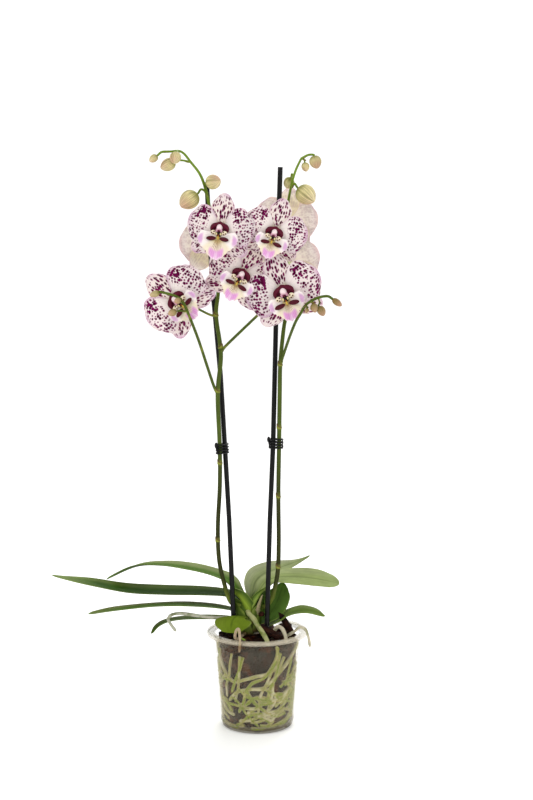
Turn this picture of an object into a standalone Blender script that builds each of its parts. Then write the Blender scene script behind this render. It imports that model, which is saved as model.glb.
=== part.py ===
"""A moth orchid with two flower spikes, in a clear grower's pot of 12 cm.

Metres, +Z up, the front towards -Y. The origin is the middle of the pot's flat base, which stands at
z = 0. Each physical piece is one object in the collection "potted_orchid". Pieces that touch keep a
gap of SEAT between them.
"""

import math
import random

import bmesh
import bpy
from mathutils import Matrix, Vector

SEAT = 0.0003

# Pot: a turned shell with a flange and a short lip under its edge
POT_HEIGHT = 0.115
RIM_RADIUS = 0.060
MOUTH_RADIUS = 0.0525
FOOT_RADIUS = 0.0435
FOOT_HEIGHT = 0.007
BASE_RADIUS = 0.040
POT_WALL = 0.0012
LIP_DROP = 0.004
POT_STEPS = 30
DRAIN_RADIUS = 0.003
DRAIN_COUNT = 6
DRAIN_RING = 0.024

# Bark and the roots that run between it and the wall
BARK_TOP = 0.1034
BARK_FLOOR = 0.0016
BARK_STEPS = 28
BARK_CHAMFER = 0.003
CHIP_COUNT = 26
CHIP_DRAWS = 900
CHIP_SPACING = 0.0075
CHIP_CLEAR = 0.0008
CHIP_CLEAR_HEIGHT = 0.118
WALL_ROOT_RADIUS = 0.0021
FACET_LOSS = 0.994
BARK_CLEAR = 0.0020
COLLAR_RADIUS = 0.0075
COLLAR_HOLE = 0.0083
COLLAR_FLOOR = 0.084

# Crown
CROWN_X = -0.011
CROWN_Y = -0.002
CROWN_BOTTOM = 0.1085
CROWN_STRETCH_X = 1.25
CROWN_STRETCH_Y = 0.95

# Sticks and stems
STICK_RADIUS = 0.0029
STICK_HOLE = 0.0034
STICK_FLOOR = 0.012
STALK_RADIUS = 0.0012
BRANCH_RADIUS = 0.0015

# Blades
LEAF_THICKNESS = 0.0015
PETAL_THICKNESS = 0.0008

# Bloom, before its own size factor
SEPAL_LENGTH = 0.040
SEPAL_WIDTH = 0.0265
PETAL_LENGTH = 0.037
PETAL_WIDTH = 0.045
LATERAL_ANGLE = math.radians(131)
PETAL_ANGLE = math.radians(80)
RECEPTACLE_RADIUS = 0.0042
LIP_SWEEP = math.radians(82)


def clear_scene():
    for item in list(bpy.data.objects):
        bpy.data.objects.remove(item, do_unlink=True)


def new_collection(name):
    made = bpy.data.collections.new(name)
    bpy.context.scene.collection.children.link(made)
    return made


def new_material(name, colour, roughness, metallic=0.0, transmission=0.0):
    made = bpy.data.materials.new(name)
    made.use_nodes = True
    shader = made.node_tree.nodes["Principled BSDF"]
    shader.inputs["Base Color"].default_value = (*colour, 1.0)
    shader.inputs["Roughness"].default_value = roughness
    shader.inputs["Metallic"].default_value = metallic
    shader.inputs["Transmission Weight"].default_value = transmission
    made.diffuse_color = (*colour, 1.0)
    return made


def new_object(name, mesh, material, collection):
    made = bpy.data.objects.new(name, mesh)
    collection.objects.link(made)
    mesh.materials.clear()
    mesh.materials.append(material)
    return made


def evaluated_mesh(item):
    """The object's mesh with its modifiers in it, in world space, as one closed skin."""
    bpy.context.view_layer.update()
    graph = bpy.context.evaluated_depsgraph_get()
    mesh = bpy.data.meshes.new_from_object(item.evaluated_get(graph))
    work = bmesh.new()
    work.from_mesh(mesh)
    bmesh.ops.transform(work, matrix=item.matrix_world, verts=work.verts)
    bmesh.ops.remove_doubles(work, verts=work.verts, dist=1e-7)
    work.to_mesh(mesh)
    work.free()
    return mesh


def solid_from(item, name, material, collection):
    """Replaces a curve, or an object with modifiers, by a plain mesh object."""
    mesh = evaluated_mesh(item)
    bpy.data.objects.remove(item, do_unlink=True)
    return new_object(name, mesh, material, collection)


def fused(name, pieces, material, collection):
    """One body from pieces that overlap."""
    operands = new_collection(name + "_pieces")
    for piece in pieces[1:]:
        for holder in list(piece.users_collection):
            holder.objects.unlink(piece)
        operands.objects.link(piece)
    join = pieces[0].modifiers.new("Join", "BOOLEAN")
    join.operation = "UNION"
    join.operand_type = "COLLECTION"
    join.collection = operands
    join.solver = "EXACT"
    made = solid_from(pieces[0], name, material, collection)
    for piece in pieces[1:]:
        bpy.data.objects.remove(piece, do_unlink=True)
    bpy.data.collections.remove(operands)
    return made


def cut(item, cutters):
    """Adds one Boolean difference for each cutter."""
    for cutter in cutters:
        step = item.modifiers.new("Cut", "BOOLEAN")
        step.operation = "DIFFERENCE"
        step.object = cutter
        step.solver = "EXACT"


def as_cutter(item):
    item.hide_render = True
    item.display_type = "WIRE"
    return item


def turned(name, profile, steps, material, collection):
    """A lathe shape; the profile lists radius and height, up the inside and down the outside."""
    work = bmesh.new()
    row = [work.verts.new((radius, 0.0, height)) for radius, height in profile]
    for first, second in zip(row, row[1:]):
        work.edges.new((first, second))
    mesh = bpy.data.meshes.new(name)
    work.to_mesh(mesh)
    work.free()
    made = new_object(name, mesh, material, collection)
    screw = made.modifiers.new("Turn", "SCREW")
    screw.steps = steps
    screw.render_steps = steps
    screw.use_merge_vertices = True
    screw.merge_threshold = 0.00001
    return made


def smooth_path(points, per_span):
    """Points of the smooth curve that runs through the given ones."""
    rows = [Vector(point) for point in points]
    rows = [2 * rows[0] - rows[1]] + rows + [2 * rows[-1] - rows[-2]]
    path = []
    for before, start, end, after in zip(rows, rows[1:], rows[2:], rows[3:]):
        for step in range(per_span):
            t = step / per_span
            path.append(
                0.5
                * (
                    2 * start
                    + (end - before) * t
                    + (2 * before - 5 * start + 4 * end - after) * t**2
                    + (3 * start - before - 3 * end + after) * t**3
                )
            )
    path.append(rows[-2])
    return path


def tube(name, path, first_radius, last_radius, material, collection, resolution=1):
    """A rod along the path, closed at its ends, that thins evenly from end to end."""
    curve = bpy.data.curves.new(name, "CURVE")
    curve.dimensions = "3D"
    curve.bevel_depth = first_radius
    curve.bevel_resolution = resolution
    curve.use_fill_caps = True
    spline = curve.splines.new("POLY")
    spline.points.add(len(path) - 1)
    for number, (point, place) in enumerate(zip(spline.points, path)):
        share = number / (len(path) - 1)
        point.co = (*place, 1.0)
        point.radius = 1 + (last_radius / first_radius - 1) * share
    made = bpy.data.objects.new(name, curve)
    collection.objects.link(made)
    return solid_from(made, name, material, collection)


def ball(name, centre, half_sizes, turn, material, collection, segments=6, rings=4):
    """An ellipsoid; turn is a rotation matrix."""
    work = bmesh.new()
    bmesh.ops.create_uvsphere(work, u_segments=segments, v_segments=rings, radius=1.0)
    shape = Matrix.Translation(centre) @ turn.to_4x4() @ Matrix.Diagonal((*half_sizes, 1.0))
    bmesh.ops.transform(work, matrix=shape, verts=work.verts)
    mesh = bpy.data.meshes.new(name)
    work.to_mesh(mesh)
    work.free()
    return new_object(name, mesh, material, collection)


def blade(name, place, along, across, thickness, material, collection):
    """A thin waved sheet; place(u, v) gives its middle surface, u from 0 to 1 and v from -1 to 1."""
    work = bmesh.new()
    bmesh.ops.create_grid(work, x_segments=across, y_segments=along, size=1.0)
    for vert in work.verts:
        vert.co = place((vert.co.y + 1) / 2, vert.co.x)
    bmesh.ops.triangulate(work, faces=work.faces)
    mesh = bpy.data.meshes.new(name)
    work.to_mesh(mesh)
    work.free()
    made = new_object(name, mesh, material, collection)
    thicken = made.modifiers.new("Thickness", "SOLIDIFY")
    thicken.thickness = thickness
    thicken.offset = 0.0
    return solid_from(made, name, material, collection)


def between(table, share):
    """A value read from an even table, with straight lines between its entries."""
    spot = min(max(share, 0.0), 1.0) * (len(table) - 1)
    low = min(int(spot), len(table) - 2)
    return table[low] + (table[low + 1] - table[low]) * (spot - low)


# Pot


def pot_inside(height):
    """Radius of the pot's inner wall at a height, at the middle of a facet."""
    share = (height - FOOT_HEIGHT) / (POT_HEIGHT - FOOT_HEIGHT)
    radius = FOOT_RADIUS + (MOUTH_RADIUS - FOOT_RADIUS) * share - POT_WALL
    return radius * FACET_LOSS


def drain_cutters(material, collection):
    cutters = []
    for number in range(DRAIN_COUNT):
        angle = 2 * math.pi * number / DRAIN_COUNT + math.radians(30)
        for radius, height, lean in ((BASE_RADIUS + 0.002, 0.0035, 90), (DRAIN_RING, 0.0, 0)):
            work = bmesh.new()
            bmesh.ops.create_cone(
                work,
                cap_ends=True,
                segments=6,
                radius1=DRAIN_RADIUS,
                radius2=DRAIN_RADIUS,
                depth=0.008,
            )
            shape = (
                Matrix.Rotation(angle, 4, "Z")
                @ Matrix.Translation((radius, 0.0, height))
                @ Matrix.Rotation(math.radians(lean), 4, "Y")
            )
            bmesh.ops.transform(work, matrix=shape, verts=work.verts)
            mesh = bpy.data.meshes.new("drain")
            work.to_mesh(mesh)
            work.free()
            cutters.append(as_cutter(new_object("drain", mesh, material, collection)))
    return cutters


def build_pot(material, collection, cutter_collection):
    lip_inside = RIM_RADIUS - POT_WALL
    under_rim = POT_HEIGHT - POT_WALL
    profile = [
        (0.0, POT_WALL),
        (BASE_RADIUS - 0.001, POT_WALL),
        (FOOT_RADIUS - POT_WALL, FOOT_HEIGHT + 0.0005),
        (MOUTH_RADIUS - POT_WALL, POT_HEIGHT),
        (RIM_RADIUS, POT_HEIGHT),
        (RIM_RADIUS, POT_HEIGHT - LIP_DROP),
        (lip_inside, POT_HEIGHT - LIP_DROP),
        (lip_inside, under_rim),
        (MOUTH_RADIUS, under_rim),
        (FOOT_RADIUS, FOOT_HEIGHT),
        (FOOT_RADIUS - 0.0015, 0.002),
        (BASE_RADIUS, 0.0),
        (0.0, 0.0),
    ]
    pot = turned("pot", profile, POT_STEPS, material, collection)
    cut(pot, drain_cutters(material, cutter_collection))
    return pot


# Bark


def bark_radius(height):
    """The bark stops short of the wall, so that the roots run in the space between."""
    return pot_inside(height) - 2 * WALL_ROOT_RADIUS - BARK_CLEAR


def near_path(spot, path, reach):
    """Whether a point in plan lies within reach of a path."""
    here = Vector((spot[0], spot[1]))
    for start, end in zip(path, path[1:]):
        first = Vector((start[0], start[1]))
        along = Vector((end[0], end[1])) - first
        share = (here - first).dot(along) / max(along.length_squared, 1e-12)
        if (here - first - along * min(max(share, 0.0), 1.0)).length < reach:
            return True
    return False


def bark_chips(keep_clear, material, collection):
    """Loose chips sunk in the top of the bark, clear of what passes over it."""
    draw = random.Random(12)
    chips = []
    spots = []
    for _ in range(CHIP_DRAWS):
        angle = draw.uniform(0.0, 2 * math.pi)
        radius = 0.043 * math.sqrt(draw.random())
        length = draw.uniform(0.010, 0.018)
        width = draw.uniform(0.005, 0.010)
        height = draw.uniform(0.005, 0.009)
        lean = draw.uniform(-0.45, 0.45)
        turn = draw.uniform(0.0, math.pi)
        spot = Vector((radius * math.cos(angle), radius * math.sin(angle)))
        if radius + length / 2 > bark_radius(BARK_TOP):
            continue
        if len(chips) == CHIP_COUNT:
            break
        if any((spot - other).length < CHIP_SPACING for other in spots):
            continue
        if any(near_path(spot, path, reach + length / 2) for path, reach in keep_clear):
            continue
        work = bmesh.new()
        bmesh.ops.create_cube(work, size=1.0)
        for vert in work.verts:
            if vert.co.z > 0:
                vert.co.x *= 0.75
                vert.co.y *= 0.7
        shape = (
            Matrix.Translation((spot.x, spot.y, BARK_TOP + height * 0.12))
            @ Matrix.Rotation(turn, 4, "Z")
            @ Matrix.Rotation(lean, 4, "Y")
            @ Matrix.Diagonal((length, width, height, 1.0))
        )
        bmesh.ops.transform(work, matrix=shape, verts=work.verts)
        mesh = bpy.data.meshes.new("chip")
        work.to_mesh(mesh)
        work.free()
        chips.append(new_object("chip", mesh, material, collection))
        spots.append(spot)
    return chips


def build_bark(keep_clear, holes, material, collection, cutter_collection):
    heights = [BARK_TOP - BARK_CHAMFER, 0.085, 0.068, 0.052, 0.036, 0.020, 0.008]
    profile = [(0.0, BARK_TOP), (bark_radius(BARK_TOP) - BARK_CHAMFER, BARK_TOP)]
    profile += [(bark_radius(height), height) for height in heights]
    profile += [(bark_radius(0.008) - 0.004, BARK_FLOOR), (0.0, BARK_FLOOR)]
    body = turned("bark_body", profile, BARK_STEPS, material, collection)
    body = solid_from(body, "bark_body", material, collection)
    draw = random.Random(5)
    for vert in body.data.vertices:
        if BARK_FLOOR + 0.001 < vert.co.z < BARK_TOP - 0.001:
            inwards = 1 - draw.uniform(0.0, 0.03)
            vert.co.x *= inwards
            vert.co.y *= inwards
    bark = fused("bark", [body] + bark_chips(keep_clear, material, collection), material, collection)
    cutters = []
    for centre, radius, floor in holes:
        work = bmesh.new()
        bmesh.ops.create_cone(
            work, cap_ends=True, segments=10, radius1=radius, radius2=radius, depth=1.0
        )
        depth = 0.14 - floor
        shape = Matrix.Translation((centre[0], centre[1], floor + depth / 2)) @ Matrix.Diagonal(
            (1.0, 1.0, depth, 1.0)
        )
        bmesh.ops.transform(work, matrix=shape, verts=work.verts)
        mesh = bpy.data.meshes.new("hole")
        work.to_mesh(mesh)
        work.free()
        cutters.append(as_cutter(new_object("hole", mesh, material, cutter_collection)))
    cut(bark, cutters)
    return bark


# Roots

# Each root of the net: where it leaves the collar, or None for a branch, and its way down the wall as
# degrees round the pot from the front and millimetres of height
WALL_ROOTS = [
    (True, [(-76, 100), (-68, 84), (-55, 70), (-38, 62), (-20, 66), (0, 71), (18, 74), (34, 84)]),
    (True, [(30, 100), (28, 90), (20, 78), (8, 68), (-8, 62), (-18, 50), (-22, 38), (-32, 24)]),
    (True, [(78, 100), (60, 90), (40, 77), (22, 64), (8, 56), (-10, 55), (-32, 50), (-52, 36)]),
    (False, [(8, 56), (21, 52), (30, 44), (24, 33), (8, 24), (-10, 17), (-32, 14)]),
    (False, [(-16, 54), (-10, 44), (2, 34), (16, 26), (34, 20), (54, 22)]),
    (True, [(112, 100), (106, 82), (90, 66), (70, 54), (50, 47), (32, 42), (14, 38), (-2, 44)]),
    (True, [(170, 100), (172, 84), (158, 66), (134, 56), (112, 52), (92, 42), (72, 30), (52, 24)]),
    (True, [(-118, 100), (-112, 80), (-124, 62), (-142, 50), (-166, 44), (-190, 52), (-212, 60)]),
    (False, [(-54, 69), (-72, 57), (-96, 46), (-122, 38), (-148, 32), (-176, 26), (-206, 22)]),
    (False, [(-118, 70), (-98, 62), (-84, 50), (-74, 36), (-60, 24), (-40, 20)]),
]
COLLAR_CENTRE = (CROWN_X, CROWN_Y)


def wall_point(degrees, millimetres, radius):
    height = millimetres / 1000
    reach = pot_inside(height) - SEAT - radius
    angle = math.radians(degrees)
    return Vector((reach * math.sin(angle), -reach * math.cos(angle), height))


def over_bark(degrees, radius):
    """From the collar over the top of the bark to the start of the way down the wall."""
    height = BARK_TOP + SEAT + radius
    wall = wall_point(degrees, 1000 * height, radius)
    start = Vector((COLLAR_CENTRE[0], COLLAR_CENTRE[1], height))
    return [start, start.lerp(wall, 0.5), start.lerp(wall, 0.93)]


def wall_root_paths():
    paths = []
    for from_collar, marks in WALL_ROOTS:
        down = [wall_point(degrees, height, WALL_ROOT_RADIUS) for degrees, height in marks]
        lead = over_bark(marks[0][0], WALL_ROOT_RADIUS) if from_collar else []
        paths.append(lead + down)
    return paths


def build_wall_roots(paths, material, collection):
    height = BARK_TOP + SEAT + WALL_ROOT_RADIUS
    top = height + 0.0020
    collar = turned(
        "collar",
        [
            (0.0, top),
            (COLLAR_RADIUS, top),
            (COLLAR_RADIUS, BARK_TOP - 0.006),
            (COLLAR_RADIUS * 0.5, COLLAR_FLOOR),
            (0.0, COLLAR_FLOOR),
        ],
        10,
        material,
        collection,
    )
    collar.location = (COLLAR_CENTRE[0], COLLAR_CENTRE[1], 0.0)
    pieces = [solid_from(collar, "collar", material, collection)]
    for path in paths:
        pieces.append(
            tube(
                "root",
                path,
                WALL_ROOT_RADIUS,
                WALL_ROOT_RADIUS * 0.8,
                material,
                collection,
            )
        )
    return fused("roots_in_pot", pieces, material, collection)


# Each aerial root: its way in metres, then its radius at both ends
AERIAL_ROOTS = {
    "aerial_root_left": (
        [
            (-0.020, -0.006, 0.131),
            (-0.034, -0.0085, 0.132),
            (-0.050, -0.015, 0.1335),
            (-0.068, -0.020, 0.137),
            (-0.088, -0.026, 0.1415),
            (-0.100, -0.030, 0.141),
            (-0.104, -0.032, 0.136),
            (-0.101, -0.033, 0.130),
            (-0.095, -0.034, 0.122),
        ],
        0.0020,
        0.0018,
    ),
    "aerial_root_front": (
        [
            (-0.011, -0.010, 0.140),
            (-0.0095, -0.0165, 0.1385),
            (-0.004, -0.022, 0.134),
            (0.001, -0.028, 0.127),
            (0.007, -0.036, 0.120),
            (0.0115, -0.043, 0.1135),
            (0.0125, -0.0455, 0.1075),
        ],
        0.0030,
        0.0027,
    ),
    "aerial_root_over_rim": (
        [
            (-0.0130, -0.0080, 0.1140),
            (-0.0180, -0.0220, 0.1135),
            (-0.0225, -0.0340, 0.1135),
            (-0.0250, -0.0430, 0.1160),
            (-0.0255, -0.0495, 0.1220),
            (-0.0235, -0.0530, 0.1290),
            (-0.0210, -0.0565, 0.1300),
            (-0.0198, -0.0597, 0.1220),
            (-0.0198, -0.0600, 0.1130),
            (-0.0205, -0.0598, 0.1040),
        ],
        0.0018,
        0.0015,
    ),
    "aerial_root_right": (
        [
            (-0.0060, -0.0060, 0.1125),
            (0.0080, -0.0085, 0.1110),
            (0.0220, -0.0100, 0.1105),
            (0.0340, -0.0160, 0.1120),
            (0.0430, -0.0245, 0.1190),
            (0.0500, -0.0310, 0.1260),
            (0.0565, -0.0340, 0.1245),
            (0.0595, -0.0360, 0.1180),
            (0.0610, -0.0365, 0.1110),
            (0.0620, -0.0370, 0.1040),
        ],
        0.0018,
        0.0016,
    ),
    "aerial_root_white": (
        [
            (0.0190, -0.0165, BARK_TOP + SEAT),
            (0.0190, -0.0165, 0.1120),
            (0.0205, -0.0185, 0.1190),
            (0.0245, -0.0220, 0.1245),
            (0.0295, -0.0265, 0.1230),
            (0.0330, -0.0300, 0.1160),
            (0.0345, -0.0315, BARK_TOP + 0.0040),
        ],
        0.0025,
        0.0022,
    ),
}


def build_aerial_roots(crown_cutter, material, collection):
    for name, (points, first_radius, last_radius) in AERIAL_ROOTS.items():
        root = tube(name, points, first_radius, last_radius, material, collection)
        if name != "aerial_root_white":
            cut(root, [crown_cutter])


# Crown

CROWN_PROFILE = [
    (0.0, 0.1660),
    (0.0050, 0.1630),
    (0.0105, 0.1540),
    (0.0125, 0.1430),
    (0.0120, 0.1290),
    (0.0095, 0.1160),
    (0.0075, CROWN_BOTTOM),
    (0.0, CROWN_BOTTOM),
]


def crown_body(name, grow, material, collection):
    top = CROWN_PROFILE[0][1]
    profile = []
    for radius, height in CROWN_PROFILE:
        taller = grow if height == top else 0.0
        lower = grow if height == CROWN_BOTTOM else 0.0
        wider = grow * 1.4 if radius > 0 else 0.0
        profile.append((radius + wider, height + taller - lower))
    body = turned(name, profile, 14, material, collection)
    body.location = (CROWN_X, CROWN_Y, 0.0)
    body.scale = (CROWN_STRETCH_X, CROWN_STRETCH_Y, 1.0)
    return solid_from(body, name, material, collection)


# Leaves

LEAF_TAPER = [0.30, 0.42, 0.66, 0.88, 1.0, 1.0, 0.92, 0.72, 0.22]
LEAF_BLUNT = [0.26, 0.34, 0.55, 0.85, 1.0, 1.0, 0.96, 0.82, 0.42]
LEAF_FRONT = [0.25, 0.25, 0.22, 0.24, 0.55, 0.92, 1.0, 0.85, 0.45]
SHEATH_TAPER = [0.80, 1.0, 0.90, 0.60, 0.15]

# Each leaf: its midrib in metres, half its greatest width, its outline, how much its sides rise
# from the midrib, and its roll about the midrib in degrees at the crown, the middle and the tip
LEAVES = {
    "leaf_left_top": (
        [
            (-0.018, 0.004, 0.155),
            (-0.0245, 0.008, 0.1635),
            (-0.034, 0.0135, 0.172),
            (-0.050, 0.020, 0.1765),
            (-0.078, 0.025, 0.1825),
            (-0.112, 0.030, 0.1865),
            (-0.146, 0.034, 0.1845),
            (-0.183, 0.036, 0.168),
        ],
        0.0200,
        LEAF_TAPER,
        0.20,
        (0, 2, 8),
    ),
    "leaf_left_long": (
        [
            (-0.017, 0.004, 0.148),
            (-0.025, 0.008, 0.153),
            (-0.040, 0.013, 0.156),
            (-0.070, 0.016, 0.157),
            (-0.110, 0.013, 0.158),
            (-0.155, 0.006, 0.162),
            (-0.200, -0.002, 0.173),
            (-0.243, -0.007, 0.183),
        ],
        0.0215,
        LEAF_TAPER,
        0.12,
        (0, 2, 4),
    ),
    "leaf_left_middle": (
        [
            (-0.016, 0.000, 0.134),
            (-0.026, 0.002, 0.138),
            (-0.050, -0.001, 0.143),
            (-0.084, -0.011, 0.148),
            (-0.120, -0.023, 0.150),
            (-0.160, -0.037, 0.149),
            (-0.196, -0.046, 0.146),
        ],
        0.0185,
        LEAF_TAPER,
        0.10,
        (0, 7, 6),
    ),
    "leaf_left_low": (
        [
            (-0.016, 0.004, 0.121),
            (-0.026, 0.010, 0.125),
            (-0.050, 0.013, 0.126),
            (-0.080, 0.008, 0.127),
            (-0.104, 0.000, 0.126),
            (-0.118, -0.006, 0.121),
            (-0.126, -0.010, 0.113),
        ],
        0.0150,
        LEAF_TAPER,
        0.12,
        (0, 5, 4),
    ),
    "leaf_left_front": (
        [
            (-0.012, -0.002, 0.128),
            (-0.014, -0.0115, 0.1330),
            (-0.020, -0.0205, 0.1365),
            (-0.026, -0.0285, 0.1370),
            (-0.0295, -0.0365, 0.1320),
            (-0.0310, -0.0425, 0.1225),
        ],
        0.0210,
        LEAF_FRONT,
        -0.10,
        (0, 0, 0),
    ),
    "leaf_right_back": (
        [
            (-0.006, 0.006, 0.147),
            (-0.006, 0.015, 0.156),
            (-0.003, 0.026, 0.1655),
            (0.006, 0.038, 0.173),
            (0.025, 0.047, 0.179),
            (0.046, 0.053, 0.185),
            (0.064, 0.057, 0.193),
        ],
        0.0170,
        LEAF_TAPER,
        0.10,
        (16, 26, 12),
    ),
    "leaf_right_long": (
        [
            (-0.005, 0.000, 0.150),
            (0.003, 0.005, 0.162),
            (0.013, 0.012, 0.172),
            (0.030, 0.0155, 0.1755),
            (0.051, 0.0135, 0.1755),
            (0.075, 0.010, 0.1735),
            (0.098, 0.007, 0.1695),
        ],
        0.0213,
        LEAF_BLUNT,
        0.10,
        (0, 6, 12),
    ),
    "leaf_right_upright": (
        [
            (-0.008, 0.002, 0.119),
            (0.003, 0.002, 0.123),
            (0.013, 0.004, 0.130),
            (0.021, 0.009, 0.141),
            (0.027, 0.015, 0.152),
            (0.031, 0.021, 0.162),
        ],
        0.0150,
        LEAF_BLUNT,
        0.18,
        (0, 0, 0),
    ),
    "leaf_right_low": (
        [
            (-0.008, -0.002, 0.1125),
            (0.006, -0.002, 0.1165),
            (0.020, -0.004, 0.1250),
            (0.034, -0.005, 0.1340),
            (0.050, -0.009, 0.1400),
            (0.066, -0.012, 0.1400),
            (0.080, -0.017, 0.1360),
        ],
        0.0125,
        LEAF_TAPER,
        0.16,
        (0, 4, 6),
    ),
    "dry_sheath": (
        [
            (-0.003, -0.0090, 0.1300),
            (0.0005, -0.0105, 0.1380),
            (0.0030, -0.0100, 0.1480),
            (0.0065, -0.0095, 0.1600),
        ],
        0.0042,
        SHEATH_TAPER,
        0.35,
        (-60, -60, -50),
    ),
}


def leaf_place(points, half_width, outline, fold, rolls):
    """The middle surface of a leaf with a fold along its midrib."""
    path = smooth_path(points, 4)
    up = Vector((0.0, 0.0, 1.0))

    def place(u, v):
        spot = u * (len(path) - 1)
        low = min(int(spot), len(path) - 2)
        centre = path[low].lerp(path[low + 1], spot - low)
        ahead = (path[low + 1] - path[low]).normalized()
        side = ahead.cross(up).normalized()
        roll = math.radians(between(rolls, u))
        side = Matrix.Rotation(roll, 3, ahead) @ side
        normal = side.cross(ahead)
        reach = half_width * between(outline, u)
        return centre + side * (v * reach) + normal * (abs(v) * reach * fold)

    return place


def build_leaves(crown_cutter, materials, collection):
    for name, (points, half_width, outline, fold, rolls) in LEAVES.items():
        dry = name == "dry_sheath"
        leaf = blade(
            name,
            leaf_place(points, half_width, outline, fold, rolls),
            4 if dry else 8,
            2 if dry else 4,
            0.0008 if dry else LEAF_THICKNESS,
            materials["sheath" if dry else "leaf"],
            collection,
        )
        cut(leaf, [crown_cutter])


# Sticks and clips

STICKS = {
    "stick_left": [
        (-0.0272, -0.0146, STICK_FLOOR),
        (-0.0272, -0.0146, 0.112),
        (-0.0330, -0.0080, 0.250),
        (-0.0380, 0.0010, 0.334),
        (-0.0430, 0.0045, 0.420),
        (-0.0520, 0.0065, 0.522),
        (-0.0582, 0.0080, 0.640),
    ],
    "stick_right": [
        (0.0112, -0.0152, STICK_FLOOR),
        (0.0112, -0.0152, 0.112),
        (0.0150, -0.0090, 0.250),
        (0.0188, -0.0020, 0.340),
        (0.0220, 0.0030, 0.478),
        (0.0258, 0.0070, 0.624),
        (0.0270, 0.0080, 0.662),
    ],
}
CLIP_HEIGHTS = {"clip_left": 0.334, "clip_right": 0.340}
CLIP_BAR = 0.0010
CLIP_PITCH = 0.0042


def at_height(path, height):
    """Where a path that climbs passes a height."""
    for start, end in zip(path, path[1:]):
        if start.z <= height <= end.z:
            return start.lerp(end, (height - start.z) / (end.z - start.z))
    return path[-1]


def build_sticks(material, collection):
    for name, points in STICKS.items():
        tube(name, points, STICK_RADIUS, STICK_RADIUS, material, collection, 2)


def clip_ring(first, second, material, collection):
    """A bar bent round the stick and the stem, each at its own height."""
    middle = (first + second) / 2
    along = (second - first).normalized()
    reach = (second - first).length / 2
    away = (STICK_RADIUS + SEAT + CLIP_BAR) / math.cos(math.pi / 6)
    start = math.atan2(along.y, along.x)
    path = []
    for number in range(8):
        angle = start - math.pi / 2 + math.pi * (number % 4) / 3 + math.pi * (number // 4)
        end = along * reach if number < 4 else -along * reach
        path.append(middle + end + Vector((math.cos(angle), math.sin(angle), 0.0)) * away)
    curve = bpy.data.curves.new("bar", "CURVE")
    curve.dimensions = "3D"
    curve.bevel_depth = CLIP_BAR
    curve.bevel_resolution = 0
    spline = curve.splines.new("POLY")
    spline.use_cyclic_u = True
    spline.points.add(len(path) - 1)
    for point, place in zip(spline.points, path):
        point.co = (*place, 1.0)
    made = bpy.data.objects.new("bar", curve)
    collection.objects.link(made)
    return solid_from(made, "bar", material, collection), middle, along, reach + away


def build_clip(name, stick, stem, height, material, collection):
    """Three bars held by a rib at their left end, which ends in a round knob."""
    pieces = []
    for level in (-1, 0, 1):
        place = height + level * CLIP_PITCH
        ends = sorted((at_height(stick, place), at_height(stem, place)), key=lambda end: end.x)
        bar, middle, along, reach = clip_ring(ends[0], ends[1], material, collection)
        pieces.append(bar)
        if level == 0:
            left = middle - along * reach
    rib = [
        left + Vector((0.0, 0.0, -CLIP_PITCH - CLIP_BAR)),
        left + Vector((0.0, 0.0, CLIP_PITCH + CLIP_BAR)),
    ]
    pieces.append(tube("rib", rib, CLIP_BAR * 1.3, CLIP_BAR * 1.3, material, collection, 0))
    knob = left + Vector((-0.0015, -0.0005, 0.0020))
    pieces.append(
        ball("knob", knob, (0.0020, 0.0016, 0.0040), Matrix.Identity(3), material, collection)
    )
    fused(name, pieces, material, collection)


# Blooms

# Each bloom: the middle of its face in metres, its roll (clockwise as its face is seen), its tilt
# (positive looks down) and its yaw in degrees (0 faces the front), its size factor and that of its lip
BLOOMS = {
    "bloom_left_top": ((-0.041, -0.044, 0.5905), 6, -2, -8, 1.00, 1.14),
    "bloom_right_top": ((0.020, -0.0425, 0.587), 17, 9, -3, 0.96, 0.94),
    "bloom_left_middle": ((-0.018, -0.0323, 0.538), 28, 0, 0, 1.03, 1.02),
    "bloom_front_low": ((0.031, -0.0418, 0.5195), -19, 6, -4, 1.14, 1.06),
    "bloom_left_low": ((-0.091, -0.040, 0.510), -53, 0, -4, 1.08, 1.00),
    "bloom_left_back": ((-0.054, 0.034, 0.575), 14, 2, 186, 0.98, 1.00),
    "bloom_right_back": ((0.035, 0.046, 0.601), -8, 0, 172, 0.96, 1.00),
    "bloom_right_back_low": ((0.036, 0.032, 0.550), 12, 0, 178, 1.00, 1.00),
}

SEPAL_OUTLINE = [0.30, 0.78, 1.0, 0.86, 0.34]
PETAL_OUTLINE = [0.16, 0.62, 0.93, 1.0, 0.84, 0.40]


def bloom_turn(roll, tilt, yaw):
    return (
        Matrix.Rotation(math.radians(yaw), 3, "Z")
        @ Matrix.Rotation(math.radians(tilt), 3, "X")
        @ Matrix.Rotation(math.radians(roll), 3, "Y")
    )


def tepal_place(angle, length, width, outline, back, wave, centre, turn, size):
    """The middle surface of a sepal or petal; angle is clockwise from straight up."""
    ahead = Vector((math.sin(angle), 0.0, math.cos(angle)))
    side = Vector((math.cos(angle), 0.0, -math.sin(angle)))

    def place(u, v):
        reach = width / 2 * between(outline, u)
        out = 0.0025 + length * (u - 0.10 * v * v * u * u)
        depth = back - 0.0030 * math.sin(math.pi * u) + 0.0030 * u * u
        depth += wave * u * math.sin(3.0 * v + 2.0 * angle)
        spot = ahead * out + side * (reach * v) + Vector((0.0, depth, 0.0))
        return Vector(centre) + turn @ (spot * size)

    return place


def lip_reach(angle):
    """Radius of the lip's edge; angle is measured from straight down, either way."""
    return 0.001 * between([31.0, 27.5, 25.0, 24.0, 23.5, 22.5, 19.0], abs(angle) / LIP_SWEEP)


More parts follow.
